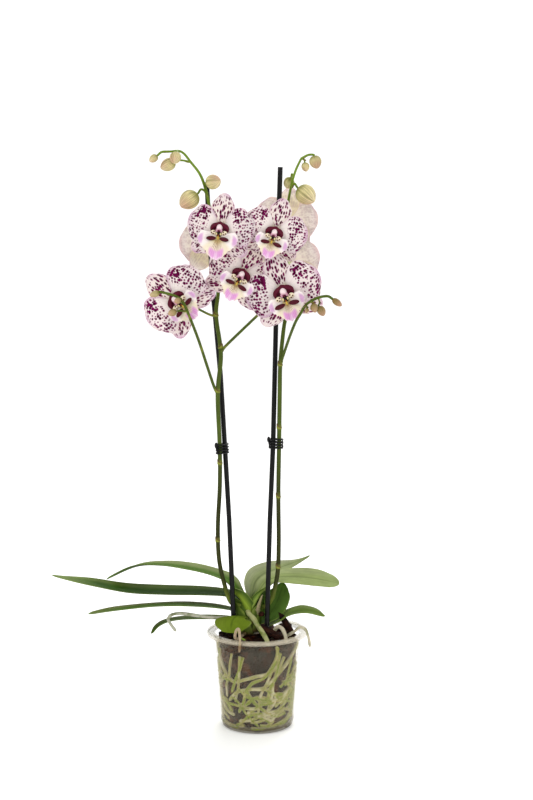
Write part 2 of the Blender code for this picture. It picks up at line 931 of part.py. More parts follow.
def lip_place(centre, turn, size):
    def place(u, v):
        angle = v * LIP_SWEEP
        reach = lip_reach(angle)
        out = 0.0022 + (reach - 0.0022) * u
        rise = 0.0060 + 0.0075 * math.sin(0.5 * math.pi * u) * (0.55 + 0.45 * math.cos(angle))
        spot = Vector((out * math.sin(angle), -rise, -0.0045 * (1 - u) - out * math.cos(angle)))
        return Vector(centre) + turn @ (spot * size)

    return place


def petal_parts(name, centre, turn, size, materials, collection):
    """Three sepals behind two petals, with the receptacle and the column in their middle."""
    material = materials["petal"]
    pieces = []

    def local_ball(part, spot, half_sizes):
        return ball(
            part,
            Vector(centre) + turn @ (Vector(spot) * size),
            Vector(half_sizes) * size,
            turn,
            material,
            collection,
        )

    pieces.append(
        local_ball("receptacle", (0, 0.0010, 0), (RECEPTACLE_RADIUS, 0.0046, RECEPTACLE_RADIUS))
    )
    for angle in (0.0, LATERAL_ANGLE, -LATERAL_ANGLE):
        place = tepal_place(
            angle,
            SEPAL_LENGTH,
            SEPAL_WIDTH,
            SEPAL_OUTLINE,
            0.0022,
            0.0006,
            centre,
            turn,
            size,
        )
        pieces.append(blade("sepal", place, 3, 2, PETAL_THICKNESS, material, collection))
    for angle in (PETAL_ANGLE, -PETAL_ANGLE):
        place = tepal_place(
            angle,
            PETAL_LENGTH,
            PETAL_WIDTH,
            PETAL_OUTLINE,
            0.0,
            0.0009,
            centre,
            turn,
            size,
        )
        pieces.append(blade("petal", place, 4, 3, PETAL_THICKNESS, material, collection))
    pieces.append(local_ball("column", (0, -0.0060, 0.0022), (0.0030, 0.0046, 0.0034)))
    return fused(name, pieces, material, collection)


def lip_parts(name, centre, turn, size, lip_size, materials, collection):
    """The broad lip, its root, the two dark wings on it and the hood that arches over the column."""
    material = materials["lip"]
    fan = blade("fan", lip_place(centre, turn, lip_size), 2, 6, PETAL_THICKNESS, material, collection)
    pieces = [fan]

    def local(spot):
        return Vector(centre) + turn @ (Vector(spot) * size)

    for spot, half_sizes in (
        ((0, -0.0060, -0.0049), (0.0036, 0.0034, 0.0032)),
        ((0, -0.0086, -0.0092), (0.0105, 0.0019, 0.0022)),
    ):
        pieces.append(
            ball("swelling", local(spot), Vector(half_sizes) * size, turn, material, collection)
        )
    hood = []
    for number in range(6):
        angle = math.radians(-125 + 250 * number / 5)
        hood.append(local((0.0086 * math.sin(angle), -0.0074, 0.0086 * math.cos(angle))))
    pieces.append(tube("hood", hood, 0.0015 * size, 0.0015 * size, material, collection, 0))
    return fused(name, pieces, material, collection)


def bloom_seat(name):
    """Where a flower stalk ends, just behind the bloom, and the way it points there."""
    centre, roll, tilt, yaw, size, _ = BLOOMS[name]
    back = bloom_turn(roll, tilt, yaw) @ Vector((0.0, 1.0, 0.0))
    return Vector(centre) + back * (0.0056 * size + SEAT), back


def build_blooms(materials, collection):
    for name, (centre, roll, tilt, yaw, size, lip_size) in BLOOMS.items():
        turn = bloom_turn(roll, tilt, yaw)
        petal_parts(name + "_petals", centre, turn, size, materials, collection)
        lip_parts(name + "_lip", centre, turn, size, lip_size, materials, collection)


# Buds

# Each bud: its middle in metres, the way from its stalk to its tip, its length and its width
BUDS = {
    "bud_left_top_1": ((-0.1185, -0.0120, 0.6710), (-5, -1, -4), 0.0110, 0.0088),
    "bud_left_top_2": ((-0.0930, -0.0205, 0.6715), (-1, -3, -4), 0.0145, 0.0132),
    "bud_left_top_3": ((-0.1020, -0.0100, 0.6640), (-8, -1, -4), 0.0180, 0.0145),
    "bud_left_top_4": ((-0.0500, -0.0120, 0.6445), (7, -5, 1), 0.0180, 0.0170),
    "bud_left_top_5": ((-0.0780, -0.0100, 0.6240), (-8, -1, -6), 0.0240, 0.0215),
    "bud_right_top_1": ((0.0675, -0.0025, 0.6675), (2, -1, -7), 0.0150, 0.0140),
    "bud_right_top_2": ((0.0560, 0.0000, 0.6620), (1, -1, -6), 0.0105, 0.0092),
    "bud_right_top_3": ((0.0370, 0.0120, 0.6440), (-2, 3, -5), 0.0140, 0.0125),
    "bud_right_top_4": ((0.0565, -0.0040, 0.6300), (7, -2, -6), 0.0245, 0.0225),
    "bud_left_low_1": ((-0.1140, -0.0720, 0.5185), (-6, 0, -2), 0.0115, 0.0072),
    "bud_left_low_2": ((-0.0885, -0.0745, 0.5110), (-3, -3, -2), 0.0080, 0.0070),
    "bud_left_low_3": ((-0.0945, -0.0700, 0.4975), (-6, -2, -2), 0.0100, 0.0080),
    "bud_right_low_1": ((0.0900, -0.0700, 0.5090), (4, 0, -3), 0.0110, 0.0062),
    "bud_right_low_2": ((0.0560, -0.0735, 0.5000), (-1, -1, -3), 0.0058, 0.0050),
    "bud_right_low_3": ((0.0645, -0.0725, 0.5030), (1, -1, -4), 0.0088, 0.0078),
    "bud_right_low_4": ((0.0725, -0.0705, 0.4995), (2, 0, -4), 0.0100, 0.0088),
}


def bud_seat(name):
    middle, heading, length, _ = BUDS[name]
    heading = Vector(heading).normalized()
    return Vector(middle) - heading * (length / 2 + SEAT), heading


def build_buds(material, collection):
    for name, (middle, heading, length, width) in BUDS.items():
        turn = Vector(heading).to_track_quat("Z", "Y").to_matrix()
        half_sizes = (width / 2, width / 2, length / 2)
        large = length > 0.012
        segments, rings = (8, 6) if large else (6, 5)
        ball(name, Vector(middle), half_sizes, turn, material, collection, segments, rings)


# Spikes

LEFT_STEM = [
    (-0.0200, -0.0045, 0.1455),
    (-0.0280, -0.0060, 0.1475),
    (-0.0330, -0.0060, 0.1530),
    (-0.0380, -0.0050, 0.1680),
    (-0.0450, -0.0050, 0.2000),
    (-0.0465, -0.0050, 0.2400),
    (-0.0440, -0.0050, 0.2900),
    (-0.0440, -0.0055, 0.3380),
    (-0.0460, -0.0090, 0.4000),
    (-0.0420, -0.0100, 0.4460),
    (-0.0475, -0.0090, 0.4910),
    (-0.0450, -0.0080, 0.5250),
    (-0.0510, -0.0060, 0.5840),
    (-0.0560, -0.0045, 0.6220),
    (-0.0640, -0.0040, 0.6500),
    (-0.0760, -0.0050, 0.6670),
    (-0.0870, -0.0070, 0.6790),
    (-0.1010, -0.0090, 0.6790),
]
RIGHT_STEM = [
    (-0.0040, 0.0005, 0.1400),
    (0.0080, 0.0010, 0.1430),
    (0.0160, -0.0030, 0.1510),
    (0.0205, -0.0072, 0.1660),
    (0.0245, -0.0080, 0.1900),
    (0.0255, -0.0060, 0.2250),
    (0.0250, -0.0045, 0.2800),
    (0.0258, -0.0030, 0.3400),
    (0.0265, -0.0045, 0.4000),
    (0.0272, -0.0050, 0.4360),
    (0.0310, -0.0050, 0.4750),
    (0.0358, -0.0040, 0.5080),
    (0.0325, 0.0000, 0.5540),
    (0.0335, 0.0020, 0.6000),
    (0.0385, 0.0020, 0.6350),
    (0.0440, 0.0020, 0.6560),
    (0.0510, 0.0020, 0.6715),
]
STEM_RADIUS = 0.0025
STEM_TIP_RADIUS = 0.0013

# What grows from each stem: points on its way, starting inside the stem, then the bloom or bud that
# it ends at, or None, and its radius
LEFT_SHOOTS = [
    (
        [
            (-0.0460, -0.0085, 0.399),
            (-0.0505, -0.0115, 0.409),
            (-0.0580, -0.0220, 0.434),
            (-0.0665, -0.0450, 0.465),
            (-0.0760, -0.0615, 0.493),
            (-0.0830, -0.0675, 0.5095),
            (-0.0920, -0.0700, 0.5165),
        ],
        "bud_left_low_1",
        BRANCH_RADIUS,
    ),
    ([(-0.0828, -0.0672, 0.5090), (-0.0845, -0.0695, 0.5120)], "bud_left_low_2", 0.0009),
    ([(-0.0783, -0.0635, 0.4985), (-0.0840, -0.0675, 0.4995)], "bud_left_low_3", 0.0009),
    (
        [
            (-0.0420, -0.0100, 0.4480),
            (-0.0370, -0.0125, 0.4550),
            (-0.0200, -0.0210, 0.4720),
            (-0.0020, -0.0270, 0.4895),
            (0.0120, -0.0290, 0.5030),
            (0.0240, -0.0290, 0.5140),
        ],
        "bloom_front_low",
        BRANCH_RADIUS,
    ),
    (
        [(-0.0475, -0.0090, 0.4900), (-0.0560, -0.0120, 0.4925), (-0.0720, -0.0190, 0.5010)],
        "bloom_left_low",
        STALK_RADIUS,
    ),
    (
        [(-0.0450, -0.0080, 0.5220), (-0.0390, -0.0090, 0.5310), (-0.0280, -0.0160, 0.5400)],
        "bloom_left_middle",
        STALK_RADIUS,
    ),
    (
        [(-0.0480, -0.0070, 0.5600), (-0.0440, 0.0040, 0.5680), (-0.0450, 0.0160, 0.5760)],
        "bloom_left_back",
        STALK_RADIUS,
    ),
    (
        [(-0.0515, -0.0060, 0.5860), (-0.0500, -0.0150, 0.5930), (-0.0440, -0.0290, 0.5950)],
        "bloom_left_top",
        STALK_RADIUS,
    ),
    ([(-0.1010, -0.0090, 0.6790), (-0.1090, -0.0105, 0.6785)], "bud_left_top_1", 0.0012),
    ([(-0.0900, -0.0075, 0.6790), (-0.0915, -0.0130, 0.6790)], "bud_left_top_2", 0.0010),
    ([(-0.0760, -0.0050, 0.6670), (-0.0850, -0.0080, 0.6690)], "bud_left_top_3", 0.0010),
    ([(-0.0605, -0.0042, 0.6400), (-0.0590, -0.0060, 0.6430)], "bud_left_top_4", 0.0012),
    (
        [(-0.0570, -0.0045, 0.6270), (-0.0600, -0.0060, 0.6340), (-0.0645, -0.0080, 0.6360)],
        "bud_left_top_5",
        0.0012,
    ),
]
RIGHT_SHOOTS = [
    (
        [
            (0.0272, -0.0050, 0.4340),
            (0.0300, -0.0090, 0.4430),
            (0.0345, -0.0240, 0.4580),
            (0.0390, -0.0440, 0.4730),
            (0.0440, -0.0610, 0.4870),
            (0.0490, -0.0680, 0.4960),
            (0.0560, -0.0700, 0.5070),
            (0.0680, -0.0700, 0.5140),
            (0.0790, -0.0700, 0.5160),
        ],
        "bud_right_low_1",
        BRANCH_RADIUS,
    ),
    ([(0.0535, -0.0695, 0.5035), (0.0550, -0.0730, 0.5050)], "bud_right_low_2", 0.0008),
    ([(0.0610, -0.0700, 0.5105), (0.0630, -0.0720, 0.5095)], "bud_right_low_3", 0.0009),
    ([(0.0690, -0.0700, 0.5140), (0.0705, -0.0700, 0.5090)], "bud_right_low_4", 0.0009),
    (
        [(0.0335, 0.0020, 0.6000), (0.0325, -0.0080, 0.6050), (0.0260, -0.0250, 0.5990)],
        "bloom_right_top",
        STALK_RADIUS,
    ),
    (
        [(0.0340, 0.0020, 0.6040), (0.0350, 0.0130, 0.6100), (0.0355, 0.0280, 0.6080)],
        "bloom_right_back",
        STALK_RADIUS,
    ),
    (
        [(0.0322, 0.0005, 0.5560), (0.0325, 0.0100, 0.5605), (0.0345, 0.0190, 0.5580)],
        "bloom_right_back_low",
        STALK_RADIUS,
    ),
    ([(0.0510, 0.0020, 0.6715), (0.0590, 0.0000, 0.6755)], "bud_right_top_1", 0.0012),
    ([(0.0520, 0.0020, 0.6718), (0.0545, 0.0010, 0.6705)], "bud_right_top_2", 0.0009),
    ([(0.0425, 0.0020, 0.6510), (0.0405, 0.0060, 0.6540)], "bud_right_top_3", 0.0010),
    ([(0.0395, 0.0020, 0.6380), (0.0430, 0.0000, 0.6430)], "bud_right_top_4", 0.0012),
]


def shoot_path(points, target):
    if target in BLOOMS:
        seat, back = bloom_seat(target)
        return [*points, seat + back * 0.006, seat]
    seat, heading = bud_seat(target)
    return [*points, seat - heading * 0.0015, seat]


def build_spike(name, stem, shoots, crown_cutter, material, collection):
    pieces = [tube("stem", stem, STEM_RADIUS, STEM_TIP_RADIUS, material, collection)]
    for points, target, radius in shoots:
        resolution = 1 if radius == BRANCH_RADIUS else 0
        way = shoot_path(points, target)
        pieces.append(tube("shoot", way, radius, radius * 0.9, material, collection, resolution))
    spike = fused(name, pieces, material, collection)
    cut(spike, [crown_cutter])


def main():
    clear_scene()
    parts = new_collection("potted_orchid")
    cutters = new_collection("cutters")
    materials = {
        "pot": new_material("clear_pot", (0.80, 0.80, 0.76), 0.25, transmission=0.8),
        "bark": new_material("pine_bark", (0.09, 0.035, 0.02), 0.9),
        "root": new_material("root_skin", (0.45, 0.50, 0.30), 0.7),
        "crown": new_material("crown_green", (0.18, 0.32, 0.04), 0.5),
        "leaf": new_material("leaf_green", (0.06, 0.16, 0.02), 0.4),
        "sheath": new_material("dry_leaf_base", (0.50, 0.45, 0.33), 0.8),
        "stick": new_material("black_stick", (0.01, 0.01, 0.012), 0.4),
        "clip": new_material("black_clip", (0.01, 0.01, 0.01), 0.35),
        "stem": new_material("stem_green", (0.13, 0.24, 0.04), 0.5),
        "petal": new_material("petal_white", (0.85, 0.78, 0.82), 0.5),
        "lip": new_material("lip_violet", (0.70, 0.35, 0.60), 0.5),
        "bud": new_material("bud_green", (0.55, 0.55, 0.30), 0.5),
    }

    build_pot(materials["pot"], parts, cutters)

    root_paths = wall_root_paths()
    sticks_in_plan = [[points[0], points[1]] for points in STICKS.values()]
    keep_clear = [(path[:4], WALL_ROOT_RADIUS + CHIP_CLEAR) for path in root_paths]
    for points, radius, _ in AERIAL_ROOTS.values():
        low = [point for point in points if point[2] < CHIP_CLEAR_HEIGHT]
        keep_clear += [(low, radius + CHIP_CLEAR)]
    keep_clear += [(points, STICK_HOLE) for points in sticks_in_plan]
    keep_clear += [([(*COLLAR_CENTRE, 0.0), (*COLLAR_CENTRE, 1.0)], COLLAR_HOLE)]
    holes = [(COLLAR_CENTRE, COLLAR_HOLE, COLLAR_FLOOR - 0.001)]
    holes += [(points[0][:2], STICK_HOLE, STICK_FLOOR - 0.001) for points in STICKS.values()]
    build_bark(keep_clear, holes, materials["bark"], parts, cutters)
    build_wall_roots(root_paths, materials["root"], parts)

    crown_body("crown", 0.0, materials["crown"], parts)
    crown_cutter = as_cutter(crown_body("crown_cutter", SEAT, materials["crown"], cutters))
    build_aerial_roots(crown_cutter, materials["root"], parts)
    build_leaves(crown_cutter, materials, parts)

    build_sticks(materials["stick"], parts)
    for side, stem in (("left", LEFT_STEM), ("right", RIGHT_STEM)):
        name = "clip_" + side
        stick = [Vector(point) for point in STICKS["stick_" + side]]
        stem = [Vector(point) for point in stem]
        build_clip(name, stick, stem, CLIP_HEIGHTS[name], materials["clip"], parts)

    build_spike("spike_left", LEFT_STEM, LEFT_SHOOTS, crown_cutter, materials["stem"], parts)
    build_spike("spike_right", RIGHT_STEM, RIGHT_SHOOTS, crown_cutter, materials["stem"], parts)
    build_blooms(materials, parts)
    build_buds(materials["bud"], parts)


main()
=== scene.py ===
"""Looks of a moth orchid with two flower spikes in a clear grower's pot.

Metres, +Z up, the front towards -Y. Each sub-assembly is a class whose fields are its sizes, each
finish is a frozen dataclass that makes one material, and main() builds them in order.
"""

import logging
import math
import random
from collections.abc import Callable, Sequence
from dataclasses import dataclass
from enum import Enum

import bmesh
import bpy
from mathutils import Matrix, Vector


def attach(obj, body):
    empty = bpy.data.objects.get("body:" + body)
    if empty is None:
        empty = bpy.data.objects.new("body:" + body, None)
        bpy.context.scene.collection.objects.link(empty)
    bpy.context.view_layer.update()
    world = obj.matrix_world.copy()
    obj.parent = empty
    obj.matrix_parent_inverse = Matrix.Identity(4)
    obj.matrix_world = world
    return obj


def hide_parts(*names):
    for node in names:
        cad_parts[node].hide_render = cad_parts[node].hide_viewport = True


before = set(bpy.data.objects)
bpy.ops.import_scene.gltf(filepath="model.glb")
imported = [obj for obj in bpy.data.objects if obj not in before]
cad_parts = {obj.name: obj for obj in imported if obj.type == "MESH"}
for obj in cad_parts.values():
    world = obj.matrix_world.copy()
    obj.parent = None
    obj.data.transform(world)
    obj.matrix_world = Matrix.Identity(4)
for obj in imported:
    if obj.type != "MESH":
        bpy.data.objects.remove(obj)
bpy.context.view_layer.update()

log = logging.getLogger("orchid")

Point = tuple[float, float, float]
Colour = tuple[float, float, float, float]
Grid = tuple[int, int]
Surface = Callable[[float, float], Vector]
Paint = Callable[[float, float, bool], tuple[Colour, Point]]

BODY = "root"
BLOOM_SEED_STEP = 2.9
PATTERN = "pattern"
TINT = "tint"


class Slot(Enum):
    """The record's material slots."""

    POT = "pot"
    BARK = "bark"
    ROOT = "root"
    CROWN = "crown"
    LEAF = "leaf"
    SHEATH = "sheath"
    STICK = "stick"
    CLIP = "clip"
    STEM = "stem"
    PETAL = "petal"
    LIP = "lip"
    BUD = "bud"


# Numbers and colours


def linear(colour: str) -> Colour:
    """Turns an sRGB hex colour to linear light.

    Args:
        colour: six hex digits after a hash sign.

    Returns:
        Red, green, blue and an alpha of 1.
    """
    parts = [int(colour[start : start + 2], 16) / 255 for start in (1, 3, 5)]
    red, green, blue = (
        part / 12.92 if part <= 0.04045 else ((part + 0.055) / 1.055) ** 2.4 for part in parts
    )
    return (red, green, blue, 1.0)


def blended(first: Colour, second: Colour, share: float) -> Colour:
    """A colour between two others.

    Args:
        first: the colour at share 0.
        second: the colour at share 1.
        share: how far towards the second, held within 0 and 1.

    Returns:
        The mixed colour.
    """
    share = min(max(share, 0.0), 1.0)
    red, green, blue = (a + (b - a) * share for a, b in zip(first[:3], second[:3]))
    return (red, green, blue, 1.0)


def layered(base: Colour | str, *layers: tuple[Colour | str, float]) -> Colour:
    """Colours laid one over another.

    Args:
        base: the lowest, as linear light or as a hex colour.
        *layers: each further colour with how far it hides what lies under it.

    Returns:
        What is seen.
    """
    seen = linear(base) if isinstance(base, str) else base
    for colour, share in layers:
        seen = blended(seen, linear(colour) if isinstance(colour, str) else colour, share)
    return seen


def rise(value: float, low: float, high: float) -> float:
    """A smooth step from 0 at low to 1 at high; low may be the greater.

    Args:
        value: what is measured.
        low: where the step starts.
        high: where it ends.

    Returns:
        A number from 0 to 1.
    """
    share = min(max((value - low) / (high - low), 0.0), 1.0)
    return share * share * (3 - 2 * share)


def smooth_path(points: Sequence[Sequence[float]], per_span: int) -> list[Vector]:
    """Points of the smooth curve that runs through the given ones.

    Args:
        points: the places it runs through.
        per_span: how many points stand for each stretch between two places.

    Returns:
        The finer points, both ends included.
    """
    rows = [Vector(point) for point in points]
    rows = [2 * rows[0] - rows[1]] + rows + [2 * rows[-1] - rows[-2]]
    path = []
    for before, start, end, after in zip(rows, rows[1:], rows[2:], rows[3:]):
        for step in range(per_span):
            t = step / per_span
            path.append(
                0.5
                * (
                    2 * start
                    + (end - before) * t
                    + (2 * before - 5 * start + 4 * end - after) * t**2
                    + (3 * start - before - 3 * end + after) * t**3
                )
            )
    path.append(rows[-2])
    return path


def between(table: Sequence[float], share: float) -> float:
    """A value read from an even table by a smooth curve through its entries.

    Args:
        table: the entries.
        share: the place in it, from 0 to 1.

    Returns:
        The value there.
    """
    spot = min(max(share, 0.0), 1.0) * (len(table) - 1)
    low = min(int(spot), len(table) - 2)
    t = spot - low
    start, end = table[low], table[low + 1]
    before = table[low - 1] if low > 0 else 2 * start - end
    after = table[low + 2] if low + 2 < len(table) else 2 * end - start
    return 0.5 * (
        2 * start
        + (end - before) * t
        + (2 * before - 5 * start + 4 * end - after) * t**2
        + (3 * start - before - 3 * end + after) * t**3
    )


# Modelling


def deselect() -> None:
    """Nothing stays selected, so an operator acts only on what it adds."""
    bpy.ops.object.select_all(action="DESELECT")


def take(item: bpy.types.Object) -> None:
    """Selects one object alone and makes it active."""
    deselect()
    item.select_set(True)
    bpy.context.view_layer.objects.active = item


def applied(item: bpy.types.Object) -> bpy.types.Object:
    """Applies the object's modifiers, then its place, turn and size.

    Args:
        item: the object to finish.

    Returns:
        The same object.
    """
    take(item)
    for step in list(item.modifiers):
        bpy.ops.object.modifier_apply(modifier=step.name)
    bpy.ops.object.transform_apply(location=True, rotation=True, scale=True)
    return item


def joined(name: str, items: Sequence[bpy.types.Object]) -> bpy.types.Object:
    """Several meshes as one object.

    Args:
        name: its name.
        items: the objects, which become part of the first.

    Returns:
        The one object.
    """
    deselect()
    for item in items:
        item.select_set(True)
    bpy.context.view_layer.objects.active = items[0]
    if len(items) > 1:
        bpy.ops.object.join()
    items[0].name = name
    items[0].data.name = name
    return items[0]


def outwards(item: bpy.types.Object) -> None:
    """Turns every face of a closed mesh outwards."""
    take(item)
    bpy.ops.object.mode_set(mode="EDIT")
    bpy.ops.mesh.select_all(action="SELECT")
    bpy.ops.mesh.normals_make_consistent(inside=False)
    bpy.ops.object.mode_set(mode="OBJECT")


def turned(name: str, profile: Sequence[tuple[float, float]], steps: int) -> bpy.types.Object:
    """A lathe shape, raised ring by ring from a circle and capped at both ends.

    Args:
        name: its name.
        profile: radius and height of each ring.
        steps: sides of the circle.

    Returns:
        The closed object.
    """
    deselect()
    radius, height = profile[0]
    bpy.ops.mesh.primitive_circle_add(
        vertices=steps, radius=radius, fill_type="NGON", location=(0, 0, height)
    )
    item = bpy.context.active_object
    bpy.ops.object.mode_set(mode="EDIT")
    for next_radius, next_height in profile[1:]:
        bpy.ops.mesh.extrude_region_move(TRANSFORM_OT_translate={"value": (0, 0, next_height - height)})
        share = next_radius / radius
        bpy.ops.transform.resize(value=(share, share, 1.0))
        radius, height = next_radius, next_height
    bpy.ops.object.mode_set(mode="OBJECT")
    item.name = name
    applied(item)
    outwards(item)
    return item


def tube(
    name: str, path: Sequence[Vector], radius_at: Callable[[float], float], sides: int = 4,
    ring: bool = False,
) -> bpy.types.Object:
    """A round rod along a path, closed at its ends or run round into a ring.

    Args:
        name: its name.
        path: points along its middle.
        radius_at: the radius for a share from 0 to 1 of the way.
        sides: bevel resolution; a round section has twice as many sides and four more.
        ring: whether its end meets its start.

    Returns:
        The rod as a mesh.
    """
    curve = bpy.data.curves.new(name, "CURVE")
    curve.dimensions = "3D"
    curve.bevel_depth = 1.0
    curve.bevel_resolution = sides
    curve.use_fill_caps = True
    spline = curve.splines.new("POLY")
    spline.use_cyclic_u = ring
    spline.points.add(len(path) - 1)
    for number, (point, place) in enumerate(zip(spline.points, path)):
        point.co = (*place, 1.0)
        point.radius = radius_at(number / (len(path) - 1))
    item = bpy.data.objects.new(name, curve)
    bpy.context.scene.collection.objects.link(item)
    take(item)
    bpy.ops.object.convert(target="MESH")
    item = bpy.context.active_object
    bpy.ops.object.mode_set(mode="EDIT")
    bpy.ops.mesh.select_all(action="SELECT")
    bpy.ops.mesh.remove_doubles(threshold=0.000001)
    bpy.ops.object.mode_set(mode="OBJECT")
    return item


def ball(name: str, centre: Vector, half_sizes: Sequence[float], turn: Matrix) -> bpy.types.Object:
    """An ellipsoid.

    Args:
        name: its name.
        centre: its middle.
        half_sizes: its half sizes along its own axes.
        turn: its rotation.

    Returns:
        The object, with its place in its mesh.
    """
    deselect()
    bpy.ops.mesh.primitive_uv_sphere_add(segments=24, ring_count=16, radius=1.0)
    item = bpy.context.active_object
    item.name = name
    shape = Matrix.Translation(centre) @ turn.to_4x4() @ Matrix.Diagonal((*half_sizes, 1.0))
    item.data.transform(shape)
    return item


def painted(item: bpy.types.Object, tints: Sequence[Colour], patterns: Sequence[Sequence[float]]) -> None:
    """Writes each vertex's colour and pattern place on a mesh.

    Args:
        item: the object.
        tints: a colour for each vertex.
        patterns: a place in the finish's own pattern for each vertex.
    """
    mesh = item.data
    tint = mesh.attributes.new(TINT, "FLOAT_COLOR", "POINT")
    tint.data.foreach_set("color", [part for colour in tints for part in colour])
    pattern = mesh.attributes.new(PATTERN, "FLOAT_VECTOR", "POINT")
    pattern.data.foreach_set("vector", [part for place in patterns for part in place])


def sheet(
    name: str, place: Surface, paint: Paint, grid: Grid, thickness: float, edge_share: float = 0.5
) -> bpy.types.Object:
    """A thin curved blade, thickest along its middle, painted on both faces.

    Args:
        name: its name.
        place: its middle surface for u from 0 to 1 along it and v from -1 to 1 across it.
        paint: colour and pattern place for u, v and whether it is the upper face.
        grid: how many faces it has along it and across it.
        thickness: its thickness in the middle.
        edge_share: its thickness at the edge, as a share of that.

    Returns:
        The closed object.
    """
    deselect()
    bpy.ops.mesh.primitive_grid_add(x_subdivisions=grid[1], y_subdivisions=grid[0], size=2.0)
    item = bpy.context.active_object
    item.name = name
    group = item.vertex_groups.new(name="thick")
    spots = []
    for vert in item.data.vertices:
        u, v = (vert.co.y + 1) / 2, vert.co.x
        spots.append((u, v))
        group.add([vert.index], max(0.0, 1 - v * v) * (1 - u**6), "REPLACE")
        vert.co = place(u, v)
    thicken = item.modifiers.new("Thickness", "SOLIDIFY")
    thicken.thickness = thickness
    thicken.offset = 0.0
    thicken.vertex_group = "thick"
    thicken.thickness_vertex_group = edge_share
    applied(item)
    item.vertex_groups.clear()
    marks = [paint(u, v, True) for u, v in spots] + [paint(u, v, False) for u, v in spots]
    painted(item, [mark[0] for mark in marks], [mark[1] for mark in marks])
    return item


def plain_paint(item: bpy.types.Object, colour: Colour) -> None:
    """Gives a mesh one tint all over, so that it can share a painted finish."""
    count = len(item.data.vertices)
    painted(item, [colour] * count, [tuple(vert.co) for vert in item.data.vertices])


def dress(
    item: bpy.types.Object, material: bpy.types.Material, slot: Slot, nodes: Sequence[str] = (),
    angle: float = 40.0,
) -> None:
    """Gives a finished piece its material, its smooth shading and its place in the frame.

    Args:
        item: the piece.
        material: its finish.
        slot: the record's slot that it belongs to; not used.
        nodes: the CAD nodes that it stands for.
        angle: edges sharper than this many degrees stay sharp.
    """
    item.data.materials.clear()
    item.data.materials.append(material)
    take(item)
    bpy.ops.object.shade_smooth_by_angle(angle=math.radians(angle))
    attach(item, BODY)
    if nodes:
        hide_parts(*nodes)
    log.info("%s: %d faces", item.name, len(item.data.polygons))


# Finishes


def feed(tree: bpy.types.NodeTree, node: bpy.types.Node, inputs: dict) -> None:
    """Gives a node its inputs.

    Args:
        tree: the tree that it stands in.
        node: the node.
        inputs: by name or number a value to set, a socket to link, or a node whose result to link.
    """
    for key, value in inputs.items():
        if isinstance(value, bpy.types.Node):
            value = next(socket for socket in value.outputs if socket.enabled)
        if isinstance(value, bpy.types.NodeSocket):
            tree.links.new(value, node.inputs[key])
        else:
            node.inputs[key].default_value = value


def add(
    tree: bpy.types.NodeTree, kind: str, inputs: dict | None = None, **settings: str
) -> bpy.types.Node:
    """Adds a shader node.

    Args:
        tree: where it goes.
        kind: its type, without the "ShaderNode" that each type starts with.
        inputs: what feed() gives it.
        **settings: its properties.

    Returns:
        The new node.
    """
    made = tree.nodes.new("ShaderNode" + kind)
    for key, value in settings.items():
        setattr(made, key, value)
    feed(tree, made, inputs or {})
    return made


def fresh(name: str) -> tuple[bpy.types.Material, bpy.types.NodeTree, bpy.types.Node]:
    """An empty material.

    Args:
        name: its name.

    Returns:
        The material, its tree and its Principled shader.
    """
    material = bpy.data.materials.new(name)
    material.use_nodes = True
    return material, material.node_tree, material.node_tree.nodes["Principled BSDF"]


@dataclass(frozen=True)
class ClearPolypropylene:
    """Thin injection-moulded polypropylene: clear with a milky haze and a soft gloss."""

    colour: str = "#c8bea8"
    haze: float = 0.035
    silt: str = "#6f654a"
    rim_haze: float = 0.30
    silt_haze: float = 0.40
    rim_height: float = 0.1105
    silt_height: float = 0.0065
    slant: float = 0.30
    roughness: float = 0.22

    def material(self) -> bpy.types.Material:
        """The pot's finish: each of the wall's two faces veils a little of what is behind it."""
        material, tree, shader = fresh("clear_polypropylene")
        place = add(tree, "TexCoord").outputs["Object"]
        # Condensation and root dust lie on the inside in patches about 30 mm wide
        cloud = add(tree, "TexNoise", {"Vector": place, "Scale": 34.0, "Detail": 4.0})
        haze = add(
            tree, "MapRange",
            {
                "Value": cloud, "From Min": 0.35, "From Max": 0.7, "To Min": self.haze,
                "To Max": self.haze + 0.05,
            },
        )
        # At a slant the eye looks through more plastic, so the sides of the pot look whiter
        facing = add(tree, "LayerWeight", {"Blend": 0.5})
        steep = add(tree, "Math", {0: facing.outputs["Facing"], 1: 3.0}, operation="POWER")
        slant = add(tree, "Math", {0: steep, 1: self.slant, 2: haze}, operation="MULTIPLY_ADD")
        # The flange is thicker and catches dust, so it reads as a pale band
        parts = add(tree, "SeparateXYZ", {0: place})
        rim = add(
            tree, "MapRange",
            {
                "Value": parts.outputs["Z"], "From Min": self.rim_height - 0.0006,
                "From Max": self.rim_height + 0.0006, "To Max": self.rim_haze,
            },
        )
        # Silt settles in the foot, which reads as an olive band
        settled = add(
            tree, "MapRange",
            {
                "Value": parts.outputs["Z"], "From Min": self.silt_height + 0.003,
                "From Max": self.silt_height,
            },
        )
        colour = add(
            tree, "Mix", {0: settled, 6: linear(self.colour), 7: linear(self.silt)}, data_type="RGBA"
        )
        clean = add(tree, "Math", {0: slant, 1: rim}, operation="ADD")
        alpha = add(tree, "Math", {0: settled, 1: self.silt_haze, 2: clean}, operation="MULTIPLY_ADD")
        feed(
            tree, shader, {"Roughness": self.roughness, "IOR": 1.49, "Base Color": colour, "Alpha": alpha}
        )
        return material


